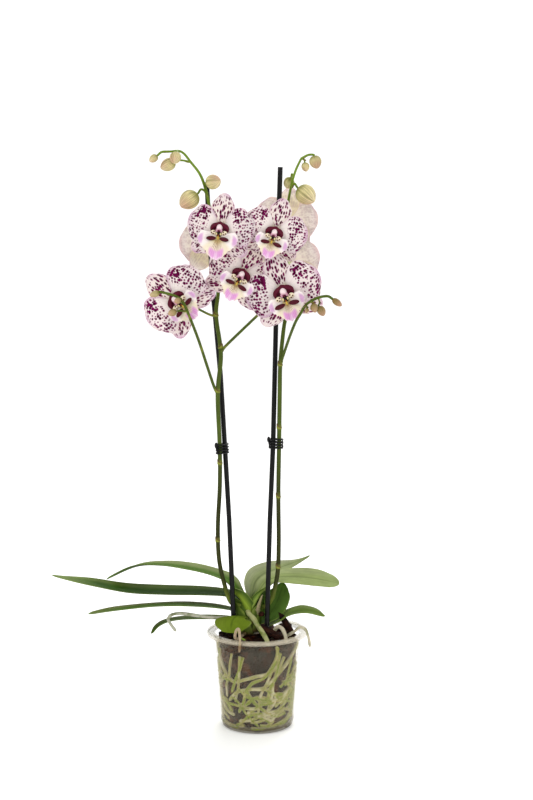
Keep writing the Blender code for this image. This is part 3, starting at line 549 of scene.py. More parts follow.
@dataclass(frozen=True)
class PineBark:
    """Coarse composted pine bark: matt, dark red-brown, split along its grain."""

    dark: str = "#100704"
    light: str = "#664230"
    grain_mm: float = 2.5

    def material(self) -> bpy.types.Material:
        """The bark's finish, with each chip a little lighter or darker than the next."""
        material, tree, shader = fresh("pine_bark")
        place = add(tree, "TexCoord").outputs["Object"]
        grain = add(
            tree, "TexNoise",
            {"Vector": place, "Scale": 1000 / self.grain_mm / 3, "Detail": 6.0, "Roughness": 0.7},
        )
        chip = add(tree, "Attribute", attribute_name=TINT)
        ramp = add(tree, "MapRange", {"Value": grain, "From Min": 0.38, "From Max": 0.72})
        colour = add(
            tree, "Mix", {0: ramp, 6: linear(self.dark), 7: linear(self.light)}, data_type="RGBA"
        )
        toned = add(tree, "Mix", {0: 1.0, 6: colour, 7: chip}, data_type="RGBA", blend_type="MULTIPLY")
        bump = add(tree, "Bump", {"Strength": 0.8, "Distance": 0.0008, "Height": grain})
        feed(
            tree, shader,
            {"Base Color": toned, "Normal": bump, "Roughness": 0.85, "Specular IOR Level": 0.12},
        )
        return material


@dataclass(frozen=True)
class RootVelamen:
    """Orchid root skin: silvery velvet when dry, grass green where it is wet or grows."""

    name: str
    dry: str
    wet_share: float = 0.5
    patch_scale: float = 85.0
    felt_scale: float = 900.0

    def material(self) -> bpy.types.Material:
        """The roots' finish: the tint of the mesh shows in soft patches about 12 mm long."""
        material, tree, shader = fresh(self.name)
        tint = add(tree, "Attribute", attribute_name=TINT)
        place = add(tree, "TexCoord").outputs["Object"]
        patch = add(tree, "TexNoise", {"Vector": place, "Scale": self.patch_scale, "Detail": 3.0})
        felt = add(tree, "TexNoise", {"Vector": place, "Scale": self.felt_scale, "Detail": 4.0})
        share = add(
            tree, "MapRange",
            {
                "Value": patch, "From Min": 0.68 - self.wet_share * 0.4,
                "From Max": 0.80 - self.wet_share * 0.4,
            },
        )
        colour = add(tree, "Mix", {0: share, 6: linear(self.dry), 7: tint}, data_type="RGBA")
        speckled = add(
            tree, "Mix", {0: 0.5, 6: colour, 7: felt.outputs["Color"]}, data_type="RGBA",
            blend_type="SOFT_LIGHT",
        )
        bump = add(tree, "Bump", {"Strength": 0.4, "Distance": 0.0003, "Height": felt})
        feed(
            tree, shader,
            {"Base Color": speckled, "Normal": bump, "Roughness": 0.75, "Specular IOR Level": 0.25},
        )
        return material


@dataclass(frozen=True)
class VeinedSkin:
    """Plant skin over fine lengthwise veins, tinted from the mesh: leaf, stem, bud or dry sheath."""

    name: str
    vein_mm: float
    vein_depth: float
    roughness: float
    specular: float = 0.15
    refraction: float = 1.3
    mottle: float = 0.15
    mottle_scale: float = 60.0
    subsurface: float = 0.0

    def material(self) -> bpy.types.Material:
        """The finish; the pattern's first part runs across the veins and its second along them."""
        material, tree, shader = fresh(self.name)
        tint = add(tree, "Attribute", attribute_name=TINT)
        pattern = add(tree, "Attribute", attribute_name=PATTERN).outputs["Vector"]
        stretched = add(
            tree, "VectorMath", {0: pattern, 1: (1000 / self.vein_mm, 30.0, 1000 / self.vein_mm)},
            operation="MULTIPLY",
        )
        veins = add(tree, "TexNoise", {"Vector": stretched, "Scale": 1.0, "Detail": 2.0})
        place = add(tree, "TexCoord").outputs["Object"]
        cloud = add(tree, "TexNoise", {"Vector": place, "Scale": self.mottle_scale, "Detail": 3.0})
        shade = add(
            tree, "MapRange",
            {
                "Value": veins, "From Min": 0.35, "From Max": 0.65, "To Min": 1.0 - self.vein_depth,
                "To Max": 1.0 + self.vein_depth * 0.5,
            },
        )
        blotch = add(
            tree, "MapRange",
            {
                "Value": cloud, "From Min": 0.3, "From Max": 0.7, "To Min": 1.0 - self.mottle,
                "To Max": 1.0 + self.mottle,
            },
        )
        both = add(tree, "Math", {0: shade, 1: blotch}, operation="MULTIPLY")
        toned = add(tree, "VectorMath", {0: tint, "Scale": both}, operation="SCALE")
        bump = add(tree, "Bump", {"Strength": 0.35, "Distance": 0.0002, "Height": veins})
        feed(
            tree, shader,
            {
                "Base Color": toned, "Normal": bump, "Roughness": self.roughness,
                "Specular IOR Level": self.specular, "IOR": self.refraction,
                "Subsurface Weight": self.subsurface, "Subsurface Radius": (0.6, 1.0, 0.3),
                "Subsurface Scale": 0.002,
            },
        )
        return material


@dataclass(frozen=True)
class SpottedPetal:
    """Petal tissue: white velvet with rows of maroon dots and dashes along its veins."""

    spot: str = "#47042a"
    light_spot: str = "#7c1456"
    halo: str = "#b8609a"
    vein: str = "#d6bfc2"
    glow: float = 0.36
    scatter: float = 0.72
    least_dot: float = 0.15
    dot_range: float = 0.42
    halo_reach: float = 0.15
    halo_strength: float = 0.46

    def material(self) -> bpy.types.Material:
        """The finish; the pattern holds the row across, the dot along and how thick the dots are."""
        material, tree, shader = fresh("spotted_petal")
        tint = add(tree, "Attribute", attribute_name=TINT)
        pattern = add(tree, "Attribute", attribute_name=PATTERN).outputs["Vector"]
        parts = add(tree, "SeparateXYZ", {0: pattern})
        flat = add(tree, "CombineXYZ", {0: parts.outputs["X"], 1: parts.outputs["Y"], 2: 0.0})
        ragged = add(tree, "TexNoise", {"Vector": flat, "Scale": 2.4, "Detail": 2.0})
        shift = add(
            tree, "VectorMath", {0: ragged.outputs["Color"], 1: (0.3, 0.5, 0.0), 2: flat},
            operation="MULTIPLY_ADD",
        )
        dots = add(
            tree, "TexVoronoi", {"Vector": shift, "Scale": 1.0, "Randomness": self.scatter},
            voronoi_dimensions="2D",
        )
        draw = add(tree, "SeparateColor", {0: dots.outputs["Color"]})
        # Each dot draws its own size, and where the petal is crowded the dots run together
        size = add(
            tree, "Math", {0: draw.outputs[0], 1: self.dot_range, 2: self.least_dot},
            operation="MULTIPLY_ADD"
        )
        reach = add(tree, "Math", {0: size, 1: parts.outputs["Z"]}, operation="MULTIPLY")
        gap = add(tree, "Math", {0: dots, 1: reach}, operation="SUBTRACT")
        spot = add(tree, "MapRange", {"Value": gap, "From Min": 0.02, "From Max": -0.04})
        halo = add(
            tree, "MapRange",
            {"Value": gap, "From Min": self.halo_reach, "From Max": 0.0, "To Max": self.halo_strength},
        )
        seen = add(tree, "MapRange", {"Value": parts.outputs["Z"], "From Min": 0.12, "From Max": 0.3})
        seen = add(tree, "Math", {0: seen, 1: tint.outputs["Alpha"]}, operation="MULTIPLY")
        spot_seen = add(tree, "Math", {0: spot, 1: seen}, operation="MULTIPLY")
        halo_seen = add(tree, "Math", {0: halo, 1: seen}, operation="MULTIPLY")
        lines = add(
            tree, "TexNoise", {"W": parts.outputs["X"], "Scale": 3.0, "Detail": 1.0},
            noise_dimensions="1D",
        )
        veined = add(tree, "MapRange", {"Value": lines, "From Min": 0.55, "From Max": 0.7, "To Max": 0.3})
        ground = add(tree, "Mix", {0: veined, 6: tint, 7: linear(self.vein)}, data_type="RGBA")
        ringed = add(tree, "Mix", {0: halo_seen, 6: ground, 7: linear(self.halo)}, data_type="RGBA")
        pigment = add(
            tree, "Mix", {0: draw.outputs[1], 6: linear(self.spot), 7: linear(self.light_spot)},
            data_type="RGBA",
        )
        spotted = add(tree, "Mix", {0: spot_seen, 6: ringed, 7: pigment}, data_type="RGBA")
        bump = add(tree, "Bump", {"Strength": 0.3, "Distance": 0.0002, "Height": lines})
        feed(
            tree, shader,
            {
                "Base Color": spotted, "Normal": bump, "Roughness": 0.6, "Specular IOR Level": 0.1,
                "IOR": 1.3,
            },
        )
        # A thin petal lets some of the light behind it through
        through = add(tree, "BsdfTranslucent", {"Color": spotted})
        both = add(tree, "MixShader", {0: self.glow, 1: shader, 2: through})
        feed(tree, tree.nodes["Material Output"], {"Surface": both})
        return material


@dataclass(frozen=True)
class VeinedLip:
    """The lip's velvet: tinted from the mesh, with red-brown veins that fan out from the throat."""

    vein: str = "#742226"

    def material(self) -> bpy.types.Material:
        """The finish; the tint's alpha says how strongly the veins show."""
        material, tree, shader = fresh("lip_velvet")
        tint = add(tree, "Attribute", attribute_name=TINT)
        pattern = add(tree, "Attribute", attribute_name=PATTERN).outputs["Vector"]
        wavy = add(tree, "TexNoise", {"Vector": pattern, "Scale": 1.1, "Detail": 1.0})
        parts = add(tree, "SeparateXYZ", {0: pattern})
        bent = add(tree, "Math", {0: wavy, 1: 0.35, 2: parts.outputs["X"]}, operation="MULTIPLY_ADD")
        fold = add(tree, "Math", {0: bent, 1: 0.5}, operation="PINGPONG")
        line = add(tree, "MapRange", {"Value": fold, "From Min": 0.22, "From Max": 0.10})
        dashes = add(tree, "TexNoise", {"Vector": pattern, "Scale": 2.2, "Detail": 1.0})
        broken = add(tree, "MapRange", {"Value": dashes, "From Min": 0.20, "From Max": 0.40})
        drawn = add(tree, "Math", {0: line, 1: broken}, operation="MULTIPLY")
        shown = add(tree, "Math", {0: drawn, 1: tint.outputs["Alpha"]}, operation="MULTIPLY")
        colour = add(tree, "Mix", {0: shown, 6: tint, 7: linear(self.vein)}, data_type="RGBA")
        bump = add(tree, "Bump", {"Strength": 0.3, "Distance": 0.0003, "Height": fold})
        feed(
            tree, shader,
            {
                "Base Color": colour, "Normal": bump, "Roughness": 0.55, "Specular IOR Level": 0.3,
                "Subsurface Weight": 0.08, "Subsurface Radius": (1.0, 0.6, 0.8),
                "Subsurface Scale": 0.0006,
            },
        )
        return material


@dataclass(frozen=True)
class GlossyTissue:
    """The waxy tissue of column, hood and seat, tinted from the mesh with fine grain."""

    name: str
    roughness: float = 0.38

    def material(self) -> bpy.types.Material:
        """The finish; a fine mottle of about 1 mm keeps the colour alive."""
        material, tree, shader = fresh(self.name)
        tint = add(tree, "Attribute", attribute_name=TINT)
        place = add(tree, "TexCoord").outputs["Object"]
        grain = add(tree, "TexNoise", {"Vector": place, "Scale": 700.0, "Detail": 3.0})
        shade = add(
            tree, "MapRange",
            {"Value": grain, "From Min": 0.3, "From Max": 0.7, "To Min": 0.9, "To Max": 1.06},
        )
        toned = add(tree, "VectorMath", {0: tint, "Scale": shade}, operation="SCALE")
        bump = add(tree, "Bump", {"Strength": 0.25, "Distance": 0.0002, "Height": grain})
        feed(
            tree, shader,
            {
                "Base Color": toned, "Normal": bump, "Roughness": self.roughness,
                "Specular IOR Level": 0.15, "Subsurface Weight": 0.05,
                "Subsurface Radius": (1.0, 0.6, 0.7), "Subsurface Scale": 0.0008,
            },
        )
        return material


@dataclass(frozen=True)
class MouldedPlastic:
    """Black moulded plastic with a satin skin and faint scuffs along its length."""

    name: str
    colour: str
    roughness: float

    def material(self) -> bpy.types.Material:
        """The finish; scuffs about 3 mm apart dull the gloss."""
        material, tree, shader = fresh(self.name)
        place = add(tree, "TexCoord").outputs["Object"]
        along = add(tree, "Mapping", {"Vector": place, "Scale": (330.0, 330.0, 14.0)})
        scuff = add(tree, "TexNoise", {"Vector": along, "Scale": 1.0, "Detail": 5.0})
        dull = add(
            tree, "MapRange",
            {
                "Value": scuff, "From Min": 0.3, "From Max": 0.7, "To Min": self.roughness - 0.08,
                "To Max": self.roughness + 0.15,
            },
        )
        bump = add(tree, "Bump", {"Strength": 0.15, "Distance": 0.0002, "Height": scuff})
        feed(
            tree, shader,
            {
                "Roughness": dull, "Normal": bump, "Base Color": linear(self.colour),
                "Specular IOR Level": 0.2,
            },
        )
        return material


# Pot, bark and roots


class Part:
    """A sub-assembly: its fields are its sizes and build() makes its pieces."""

    def build(self) -> None:
        """Makes the pieces and dresses them."""
        raise NotImplementedError


POT_HEIGHT = 0.115
POT_MOUTH = 0.0525
POT_FOOT = 0.0435
FOOT_HEIGHT = 0.007
POT_WALL = 0.0012
BARK_TOP = 0.1034
# Where the crown and the two sticks stand
COLLAR: Point = (-0.011, -0.002, 0.0)
LEFT_SOCKET = (-0.0272, -0.0146)
RIGHT_SOCKET = (0.0112, -0.0152)


def wall_radius(height: float) -> float:
    """Inner radius of the pot's wall at a height."""
    share = (height - FOOT_HEIGHT) / (POT_HEIGHT - FOOT_HEIGHT)
    return POT_FOOT + (POT_MOUTH - POT_FOOT) * share - POT_WALL


@dataclass
class ClearPot(Part):
    """The moulded pot: conical wall, stepped foot, flange and a short lip turned down."""

    height: float = POT_HEIGHT
    rim: float = 0.060
    mouth: float = POT_MOUTH
    foot: float = POT_FOOT
    foot_height: float = FOOT_HEIGHT
    base: float = 0.040
    wall: float = POT_WALL
    lip_drop: float = 0.004
    steps: int = 128
    drains: int = 6
    drain_radius: float = 0.003

    def profile(self) -> list[tuple[float, float]]:
        """Radius and height, from the middle of the base up the outside and down the inside."""
        lip_inside = self.rim - self.wall
        under = self.height - self.wall
        return [
            (0.004, 0.0012), (0.030, 0.0012), (0.0325, 0.0), (self.base - 0.0012, 0.0),
            (self.base, 0.0005), (self.foot - 0.0015, 0.002),
            (self.foot - 0.0004, self.foot_height - 0.0012), (self.foot, self.foot_height),
            (self.foot + 0.0003, self.foot_height + 0.0006), (self.mouth - 0.0008, under - 0.010),
            (self.mouth, under - 0.0012), (self.mouth + 0.0009, under), (lip_inside - 0.0006, under),
            (lip_inside, under - 0.0006), (lip_inside, self.height - self.lip_drop),
            (self.rim - 0.0003, self.height - self.lip_drop - 0.0002),
            (self.rim, self.height - self.lip_drop + 0.0003), (self.rim, self.height - 0.0009),
            (self.rim - 0.0009, self.height), (self.mouth + 0.0006, self.height),
            (self.mouth - self.wall, self.height - 0.0008),
            (self.foot - self.wall, self.foot_height + 0.0005), (self.base - 0.0006, 0.0028),
            (self.base - 0.002, 0.0024), (0.004, 0.0024),
        ]

    def drilled(self, shell: bpy.types.Object) -> None:
        """Cuts a ring of slots in the foot and a ring of holes in the base."""
        for number in range(self.drains):
            angle = 2 * math.pi * number / self.drains + math.radians(30)
            for radius, height, lean in ((self.base + 0.002, 0.0042, 90), (0.024, 0.0, 0)):
                deselect()
                bpy.ops.mesh.primitive_cylinder_add(
                    vertices=20, radius=self.drain_radius, depth=0.008,
                    location=(radius * math.cos(angle), radius * math.sin(angle), height),
                    rotation=(0.0, math.radians(lean), angle),
                )
                cutter = bpy.context.active_object
                hole = shell.modifiers.new("Hole", "BOOLEAN")
                hole.operation = "DIFFERENCE"
                hole.object = cutter
                hole.solver = "EXACT"
                take(shell)
                bpy.ops.object.modifier_apply(modifier=hole.name)
                bpy.data.objects.remove(cutter, do_unlink=True)

    def build(self) -> None:
        """Turns the shell and drills it."""
        shell = turned("clear_pot", self.profile(), self.steps)
        self.drilled(shell)
        dress(shell, ClearPolypropylene().material(), Slot.POT, ["pot"], 35.0)


@dataclass
class BarkFill(Part):
    """Coarse bark: a dark core under some hundreds of loose chips."""

    top: float = BARK_TOP
    floor: float = 0.0030
    wall_chips: int = 330
    top_chips: int = 260
    chip_kinds: int = 6
    seed: int = 7
    tones: Sequence[str] = ("#ffffff", "#d99c7c", "#97786a", "#6f574c", "#ffdcae", "#53433c")
    large_tones: Sequence[str] = ("#a88478", "#8a6c66", "#c89a84")
    # Where no chip lies: round the sticks and the crown, each a place and a reach
    clear_of: Sequence[tuple[float, float, float]] = (
        (*LEFT_SOCKET, 0.006), (*RIGHT_SOCKET, 0.006), (*COLLAR[:2], 0.013)
    )
    # The large chips that stand out of the rest: middle, length, width, thickness, turn and lean
    large: Sequence[tuple[Point, float, float, float, float, float]] = (
        ((0.0185, -0.0230, 0.1165), 0.031, 0.012, 0.0052, 8, 28),
        ((0.0350, -0.0100, 0.1245), 0.024, 0.0065, 0.0055, -12, 56),
        ((0.0300, 0.0080, 0.1150), 0.022, 0.012, 0.0050, 40, -14),
        ((-0.0380, -0.0200, 0.1090), 0.020, 0.010, 0.0050, 70, 18),
        ((-0.0060, -0.0330, 0.1080), 0.024, 0.008, 0.0045, 10, -10),
        ((0.0020, 0.0260, 0.1140), 0.020, 0.012, 0.0060, 15, 22),
        ((-0.0300, 0.0220, 0.1120), 0.022, 0.011, 0.0050, -35, -16),
        ((0.0215, -0.0360, 0.1085), 0.016, 0.008, 0.0045, -25, 12),
        ((0.0052, -0.0125, 0.1375), 0.0055, 0.0040, 0.0048, 20, 10),
    )
    # Loose litter on top: its radius, its colour and its way
    litter: Sequence[tuple[float, str, Sequence[Point]]] = (
        (
            0.0011, "#93b04a",
            [(-0.0190, -0.0330, 0.1140), (-0.0120, -0.0365, 0.1105), (-0.0053, -0.0390, 0.1070)],
        ),
        (
            0.0007, "#d9b583",
            [(0.0084, -0.0330, 0.1155), (0.0175, -0.0365, 0.1095), (0.0258, -0.0390, 0.1040)],
        ),
    )

    def core(self) -> bpy.types.Object:
        """The rough dark body in the middle."""
        heights = [0.02, 0.04, 0.06, 0.08, 0.094]
        rows = [(wall_radius(height) - 0.0085, height) for height in heights]
        rows = [(0.0365, self.floor + 0.0004), (0.0385, 0.0062), (0.0380, 0.0100)] + rows
        rows = [(0.030, self.floor)] + rows + [(0.036, self.top - 0.003), (0.018, self.top - 0.003)]
        core = turned("bark_core", rows, 40)
        take(core)
        bpy.ops.object.mode_set(mode="EDIT")
        bpy.ops.mesh.select_all(action="SELECT")
        bpy.ops.mesh.subdivide(number_cuts=2)
        bpy.ops.transform.vertex_random(offset=0.0012, seed=3)
        bpy.ops.object.mode_set(mode="OBJECT")
        return core

    def models(self, roundness: float) -> list[bpy.types.Object]:
        """A few chips of unit size, each split and worn another way.

        Args:
            roundness: how far a chip leans from a block to a lens, from 0 to 1.

        Returns:
            The chips.
        """
        made = []
        for number in range(self.chip_kinds):
            deselect()
            bpy.ops.mesh.primitive_cube_add(size=1.0)
            chip = bpy.context.active_object
            bpy.ops.object.mode_set(mode="EDIT")
            bpy.ops.mesh.select_all(action="SELECT")
            bpy.ops.mesh.subdivide(number_cuts=1)
            bpy.ops.transform.tosphere(value=roundness)
            bpy.ops.transform.vertex_random(offset=0.15, uniform=0.2, seed=number)
            bpy.ops.object.mode_set(mode="OBJECT")
            corners = chip.modifiers.new("Worn", "BEVEL")
            corners.width = 0.05
            corners.segments = 1
            corners.limit_method = "ANGLE"
            made.append(applied(chip))
        return made

    def placed(self, model: bpy.types.Object, place: Matrix, tone: Colour) -> bpy.types.Object:
        """A chip copied from a model.

        Args:
            model: the chip to copy.
            place: its size, turn and place.
            tone: what its colour is multiplied by.

        Returns:
            The new chip.
        """
        chip = model.copy()
        chip.data = model.data.copy()
        bpy.context.scene.collection.objects.link(chip)
        chip.data.transform(place)
        count = len(chip.data.vertices)
        painted(chip, [tone] * count, [(0.0, 0.0, 0.0)] * count)
        return chip

    def wall_place(self, draw: random.Random) -> Matrix:
        """A chip's place against the wall, behind the roots, flat side out."""
        height = draw.uniform(0.0095, self.top - 0.004)
        angle = draw.uniform(0.0, 2 * math.pi)
        depth = draw.uniform(0.0035, 0.008)
        radius = wall_radius(height) - 0.0048 - depth / 2 + draw.uniform(-0.001, 0.0009)
        return (
            Matrix.Rotation(angle, 4, "Z")
            @ Matrix.Translation((radius, 0.0, height))
            @ Matrix.Rotation(draw.uniform(-1.4, 1.4), 4, "X")
            @ Matrix.Rotation(draw.uniform(-0.3, 0.3), 4, "Z")
            @ Matrix.Diagonal((depth, draw.uniform(0.007, 0.019), draw.uniform(0.004, 0.011), 1.0))
        )

    def top_place(self, draw: random.Random) -> Matrix | None:
        """A chip's place on the top, or None where something else stands."""
        angle = draw.uniform(0.0, 2 * math.pi)
        radius = 0.044 * math.sqrt(draw.random())
        spot = Vector((radius * math.cos(angle), radius * math.sin(angle), 0.0))
        heap = 0.0045 * (1 - rise(radius, 0.030, 0.045))
        if any((spot - Vector((x, y, 0.0))).length < reach for x, y, reach in self.clear_of):
            return None
        thick = draw.uniform(0.0022, 0.0052)
        return (
            Matrix.Translation((spot.x, spot.y, self.top + heap + draw.uniform(-0.003, 0.004)))
            @ Matrix.Rotation(draw.uniform(0.0, math.pi), 4, "Z")
            @ Matrix.Rotation(draw.uniform(-0.5, 0.5), 4, "Y")
            @ Matrix.Rotation(draw.uniform(-0.5, 0.5), 4, "X")
            @ Matrix.Diagonal((draw.uniform(0.007, 0.016), draw.uniform(0.004, 0.009), thick, 1.0))
        )

    def large_place(
        self, middle: Point, length: float, width: float, thick: float, turn: float, lean: float
    ) -> Matrix:
        """Where one of the large chips lies.

        Args:
            middle: its middle.
            length: its length.
            width: its width.
            thick: its thickness.
            turn: its turn about the upright, in degrees.
            lean: how far its far end dips, in degrees.

        Returns:
            Its size, turn and place.
        """
        return (
            Matrix.Translation(middle)
            @ Matrix.Rotation(math.radians(turn), 4, "Z")
            @ Matrix.Rotation(math.radians(lean), 4, "Y")
            @ Matrix.Rotation(math.radians(18.0), 4, "X")
            @ Matrix.Diagonal((length, width, thick, 1.0))
        )

    def build_litter(self) -> None:
        """A green stalk and a straw that lie over the chips in front."""
        pieces = []
        for radius, colour, way in self.litter:
            stalk = tube("litter", smooth_path(way, 8), lambda share, radius=radius: radius, 4)
            plain_paint(stalk, linear(colour))
            pieces.append(stalk)
        skin = VeinedSkin("dry_stalk", 0.6, 0.25, 0.7, mottle=0.2)
        dress(joined("bark_litter", pieces), skin.material(), Slot.BARK)

    def build(self) -> None:
        """Scatters the chips round the core."""
        draw = random.Random(self.seed)
        core = self.core()
        plain_paint(core, linear("#6a5a52"))
        tones = [linear(tone) for tone in self.tones]
        blocks, slivers = self.models(0.3), self.models(0.75)
        places = [self.wall_place(draw) for _ in range(self.wall_chips)]
        tops = [self.top_place(draw) for _ in range(self.top_chips)]
        places += [place for place in tops if place is not None]
        chips = [self.placed(draw.choice(blocks), place, draw.choice(tones)) for place in places]
        for number, sizes in enumerate(self.large):
            tone = linear(self.large_tones[number % len(self.large_tones)])
            chips.append(self.placed(slivers[number % self.chip_kinds], self.large_place(*sizes), tone))
        for model in blocks + slivers:
            bpy.data.objects.remove(model, do_unlink=True)
        bark = joined("bark_chips", [core] + chips)
        dress(bark, PineBark().material(), Slot.BARK, ["bark"], 30.0)
        self.build_litter()


# A place on the wall: degrees round it from the front, and millimetres above the floor
Mark = tuple[float, float]


@dataclass
class RootNet(Part):
    """The roots that press against the wall of the pot."""

    radius: float = 0.0021
    clearance: float = 0.0004
    # The long roots: whether each starts at the collar, and its way over the wall
    main_ways: Sequence[tuple[bool, Sequence[Mark]]] = (
        (True, [(-76, 100), (-68, 84), (-55, 70), (-38, 62), (-20, 66), (0, 71), (18, 74), (34, 84)]),
        (True, [(30, 100), (28, 90), (20, 78), (8, 68), (-8, 62), (-18, 50), (-22, 38), (-32, 24)]),
        (True, [(78, 100), (60, 90), (40, 77), (22, 64), (8, 56), (-10, 55), (-32, 50), (-52, 36)]),
        (False, [(8, 56), (21, 52), (30, 44), (24, 33), (8, 24), (-10, 17), (-32, 14)]),
        (False, [(-16, 54), (-10, 44), (2, 34), (16, 26), (34, 20), (54, 22)]),
        (True, [(112, 100), (106, 82), (90, 66), (70, 54), (50, 47), (32, 42), (14, 38), (-2, 44)]),
        (True, [(170, 100), (172, 84), (158, 66), (134, 56), (112, 52), (92, 42), (72, 30), (52, 24)]),
        (True, [(-118, 100), (-112, 80), (-124, 62), (-142, 50), (-166, 44), (-190, 52), (-212, 60)]),
        (False, [(-54, 69), (-72, 57), (-96, 46), (-122, 38), (-148, 32), (-176, 26), (-206, 22)]),
        (False, [(-118, 70), (-98, 62), (-84, 50), (-74, 36), (-60, 24), (-40, 20)]),
    )
    low_count: int = 72
    steep_count: int = 16
    seed: int = 21

    def wall_point(self, degrees: float, millimetres: float, radius: float) -> Vector:
        """A place on the inside of the wall.

        Args:
            degrees: round the pot from the front.
            millimetres: height above the floor.
            radius: the root's own radius.

        Returns:
            The middle of the root there.
        """
        height = millimetres / 1000
        reach = wall_radius(height) - self.clearance - radius
        angle = math.radians(degrees)
        return Vector((reach * math.sin(angle), -reach * math.cos(angle), height))

    def bumpy(self, radius: float, draw: random.Random, tip: float) -> Callable[[float], float]:
        """A radius that swells and thins along a root and rounds off at its tip.

        Args:
            radius: the mean radius.
            draw: where the swellings come from.
            tip: the share of the way over which the end rounds off.

        Returns:
            The radius for a share of the way.
        """
        phase = draw.uniform(0.0, 6.0)
        pace = draw.uniform(14.0, 30.0)

        def radius_at(share: float) -> float:
            """The radius at one share of the way."""
            swell = 1 + 0.07 * math.sin(pace * share + phase) + 0.05 * math.sin(2.7 * pace * share)
            end = math.sqrt(max(1 - (max(share - 1 + tip, 0.0) / tip) ** 2, 0.02))
            return radius * swell * end

        return radius_at

    def paint_pressed(self, root: bpy.types.Object, wet: Colour, dry: Colour) -> None:
        """Tints a root green where it presses on the wall and pale where it turns away.

        Args:
            root: the root.
            wet: its colour on the wall.
            dry: its colour elsewhere.
        """
        tints = []
        for vert in root.data.vertices:
            reach = math.hypot(vert.co.x, vert.co.y)
            gap = wall_radius(max(vert.co.z, 0.0)) - self.clearance - reach
            tints.append(blended(wet, dry, rise(gap, 0.0002, 0.0013)))
        painted(root, tints, [tuple(vert.co) for vert in root.data.vertices])

    def lead(self, degrees: float) -> list[Vector]:
        """The way from the collar over the bark to the wall."""
        height = BARK_TOP + 0.0003 + self.radius
        wall = self.wall_point(degrees, 1000 * height, self.radius)
        start = Vector((*COLLAR[:2], height))
        return [start, start.lerp(wall, 0.5), start.lerp(wall, 0.93)]

    def extra_ways(self, draw: random.Random) -> list[list[Mark]]:
        """Finer side roots: most wander low in the pot, some drop steeply from the top.

        Args:
            draw: where their places come from.

        Returns:
            Their ways down the wall.
        """
        ways = []
        for _ in range(self.low_count):
            degrees = draw.uniform(-180, 180)
            height = draw.choice([draw.uniform(6, 28), draw.uniform(12, 50), draw.uniform(30, 70)])
            heading = draw.choice([-1, 1]) * draw.uniform(7, 14)
            climb = draw.uniform(-8, 8)
            way = []
            for _ in range(draw.randint(4, 8)):
                way.append((degrees, min(max(height, 6.2), 80)))
                degrees += heading * draw.uniform(0.6, 1.3)
                climb = min(max(climb + draw.uniform(-6, 6), -11), 11)
                height += climb * 0.7
            ways.append(way)
        for number in range(self.steep_count):
            degrees = 22 + 360 * (number % 4) / 4 + draw.uniform(-6, 50)
            height = draw.uniform(84, 98)
            way = []
            for _ in range(draw.randint(4, 6)):
                way.append((degrees, max(height, 10)))
                degrees -= draw.uniform(1, 9)
                height -= draw.uniform(9, 17)
            ways.append(way)
        return ways

    def build(self) -> None:
        """Lays the long roots and the finer ones, then the collar that they grow from."""
        draw = random.Random(self.seed)
        silver, green = [], []
        for number, (from_collar, marks) in enumerate(self.main_ways):
            points = [self.wall_point(degrees, height, self.radius) for degrees, height in marks]
            if from_collar:
                points = self.lead(marks[0][0]) + points
            way = smooth_path(points, 8)
            shape = self.bumpy(self.radius, draw, 0.03)
            (green if number % 3 == 1 else silver).append(tube("root", way, shape, 5))
        for number, marks in enumerate(self.extra_ways(draw)):
            radius = draw.uniform(0.0014, 0.0023)
            points = [self.wall_point(degrees, height, radius) for degrees, height in marks]
            rod = tube("side_root", smooth_path(points, 7), self.bumpy(radius, draw, 0.06), 4)
            (silver if number % 3 == 0 else green).append(rod)
        collar = turned(
            "collar",
            [(0.004, 0.085), (0.0072, 0.096), (0.0085, 0.1045), (0.0075, 0.1085), (0.004, 0.1092)], 28,
        )
        collar.data.transform(Matrix.Translation(COLLAR))
        silver.append(collar)
        for root in silver:
            self.paint_pressed(root, linear("#8f8d4c"), linear("#b3ac82"))
        for root in green:
            self.paint_pressed(root, linear("#7a8628"), linear("#a8a266"))
        pale = RootVelamen("root_velamen_silver", "#b5ae86", 0.7)
        fresh_green = RootVelamen("root_velamen_green", "#a09a5a", 0.8)
        first = joined("pot_roots_silver", silver)
        dress(first, pale.material(), Slot.ROOT, ["roots_in_pot"])
        dress(joined("pot_roots_green", green), fresh_green.material(), Slot.ROOT)


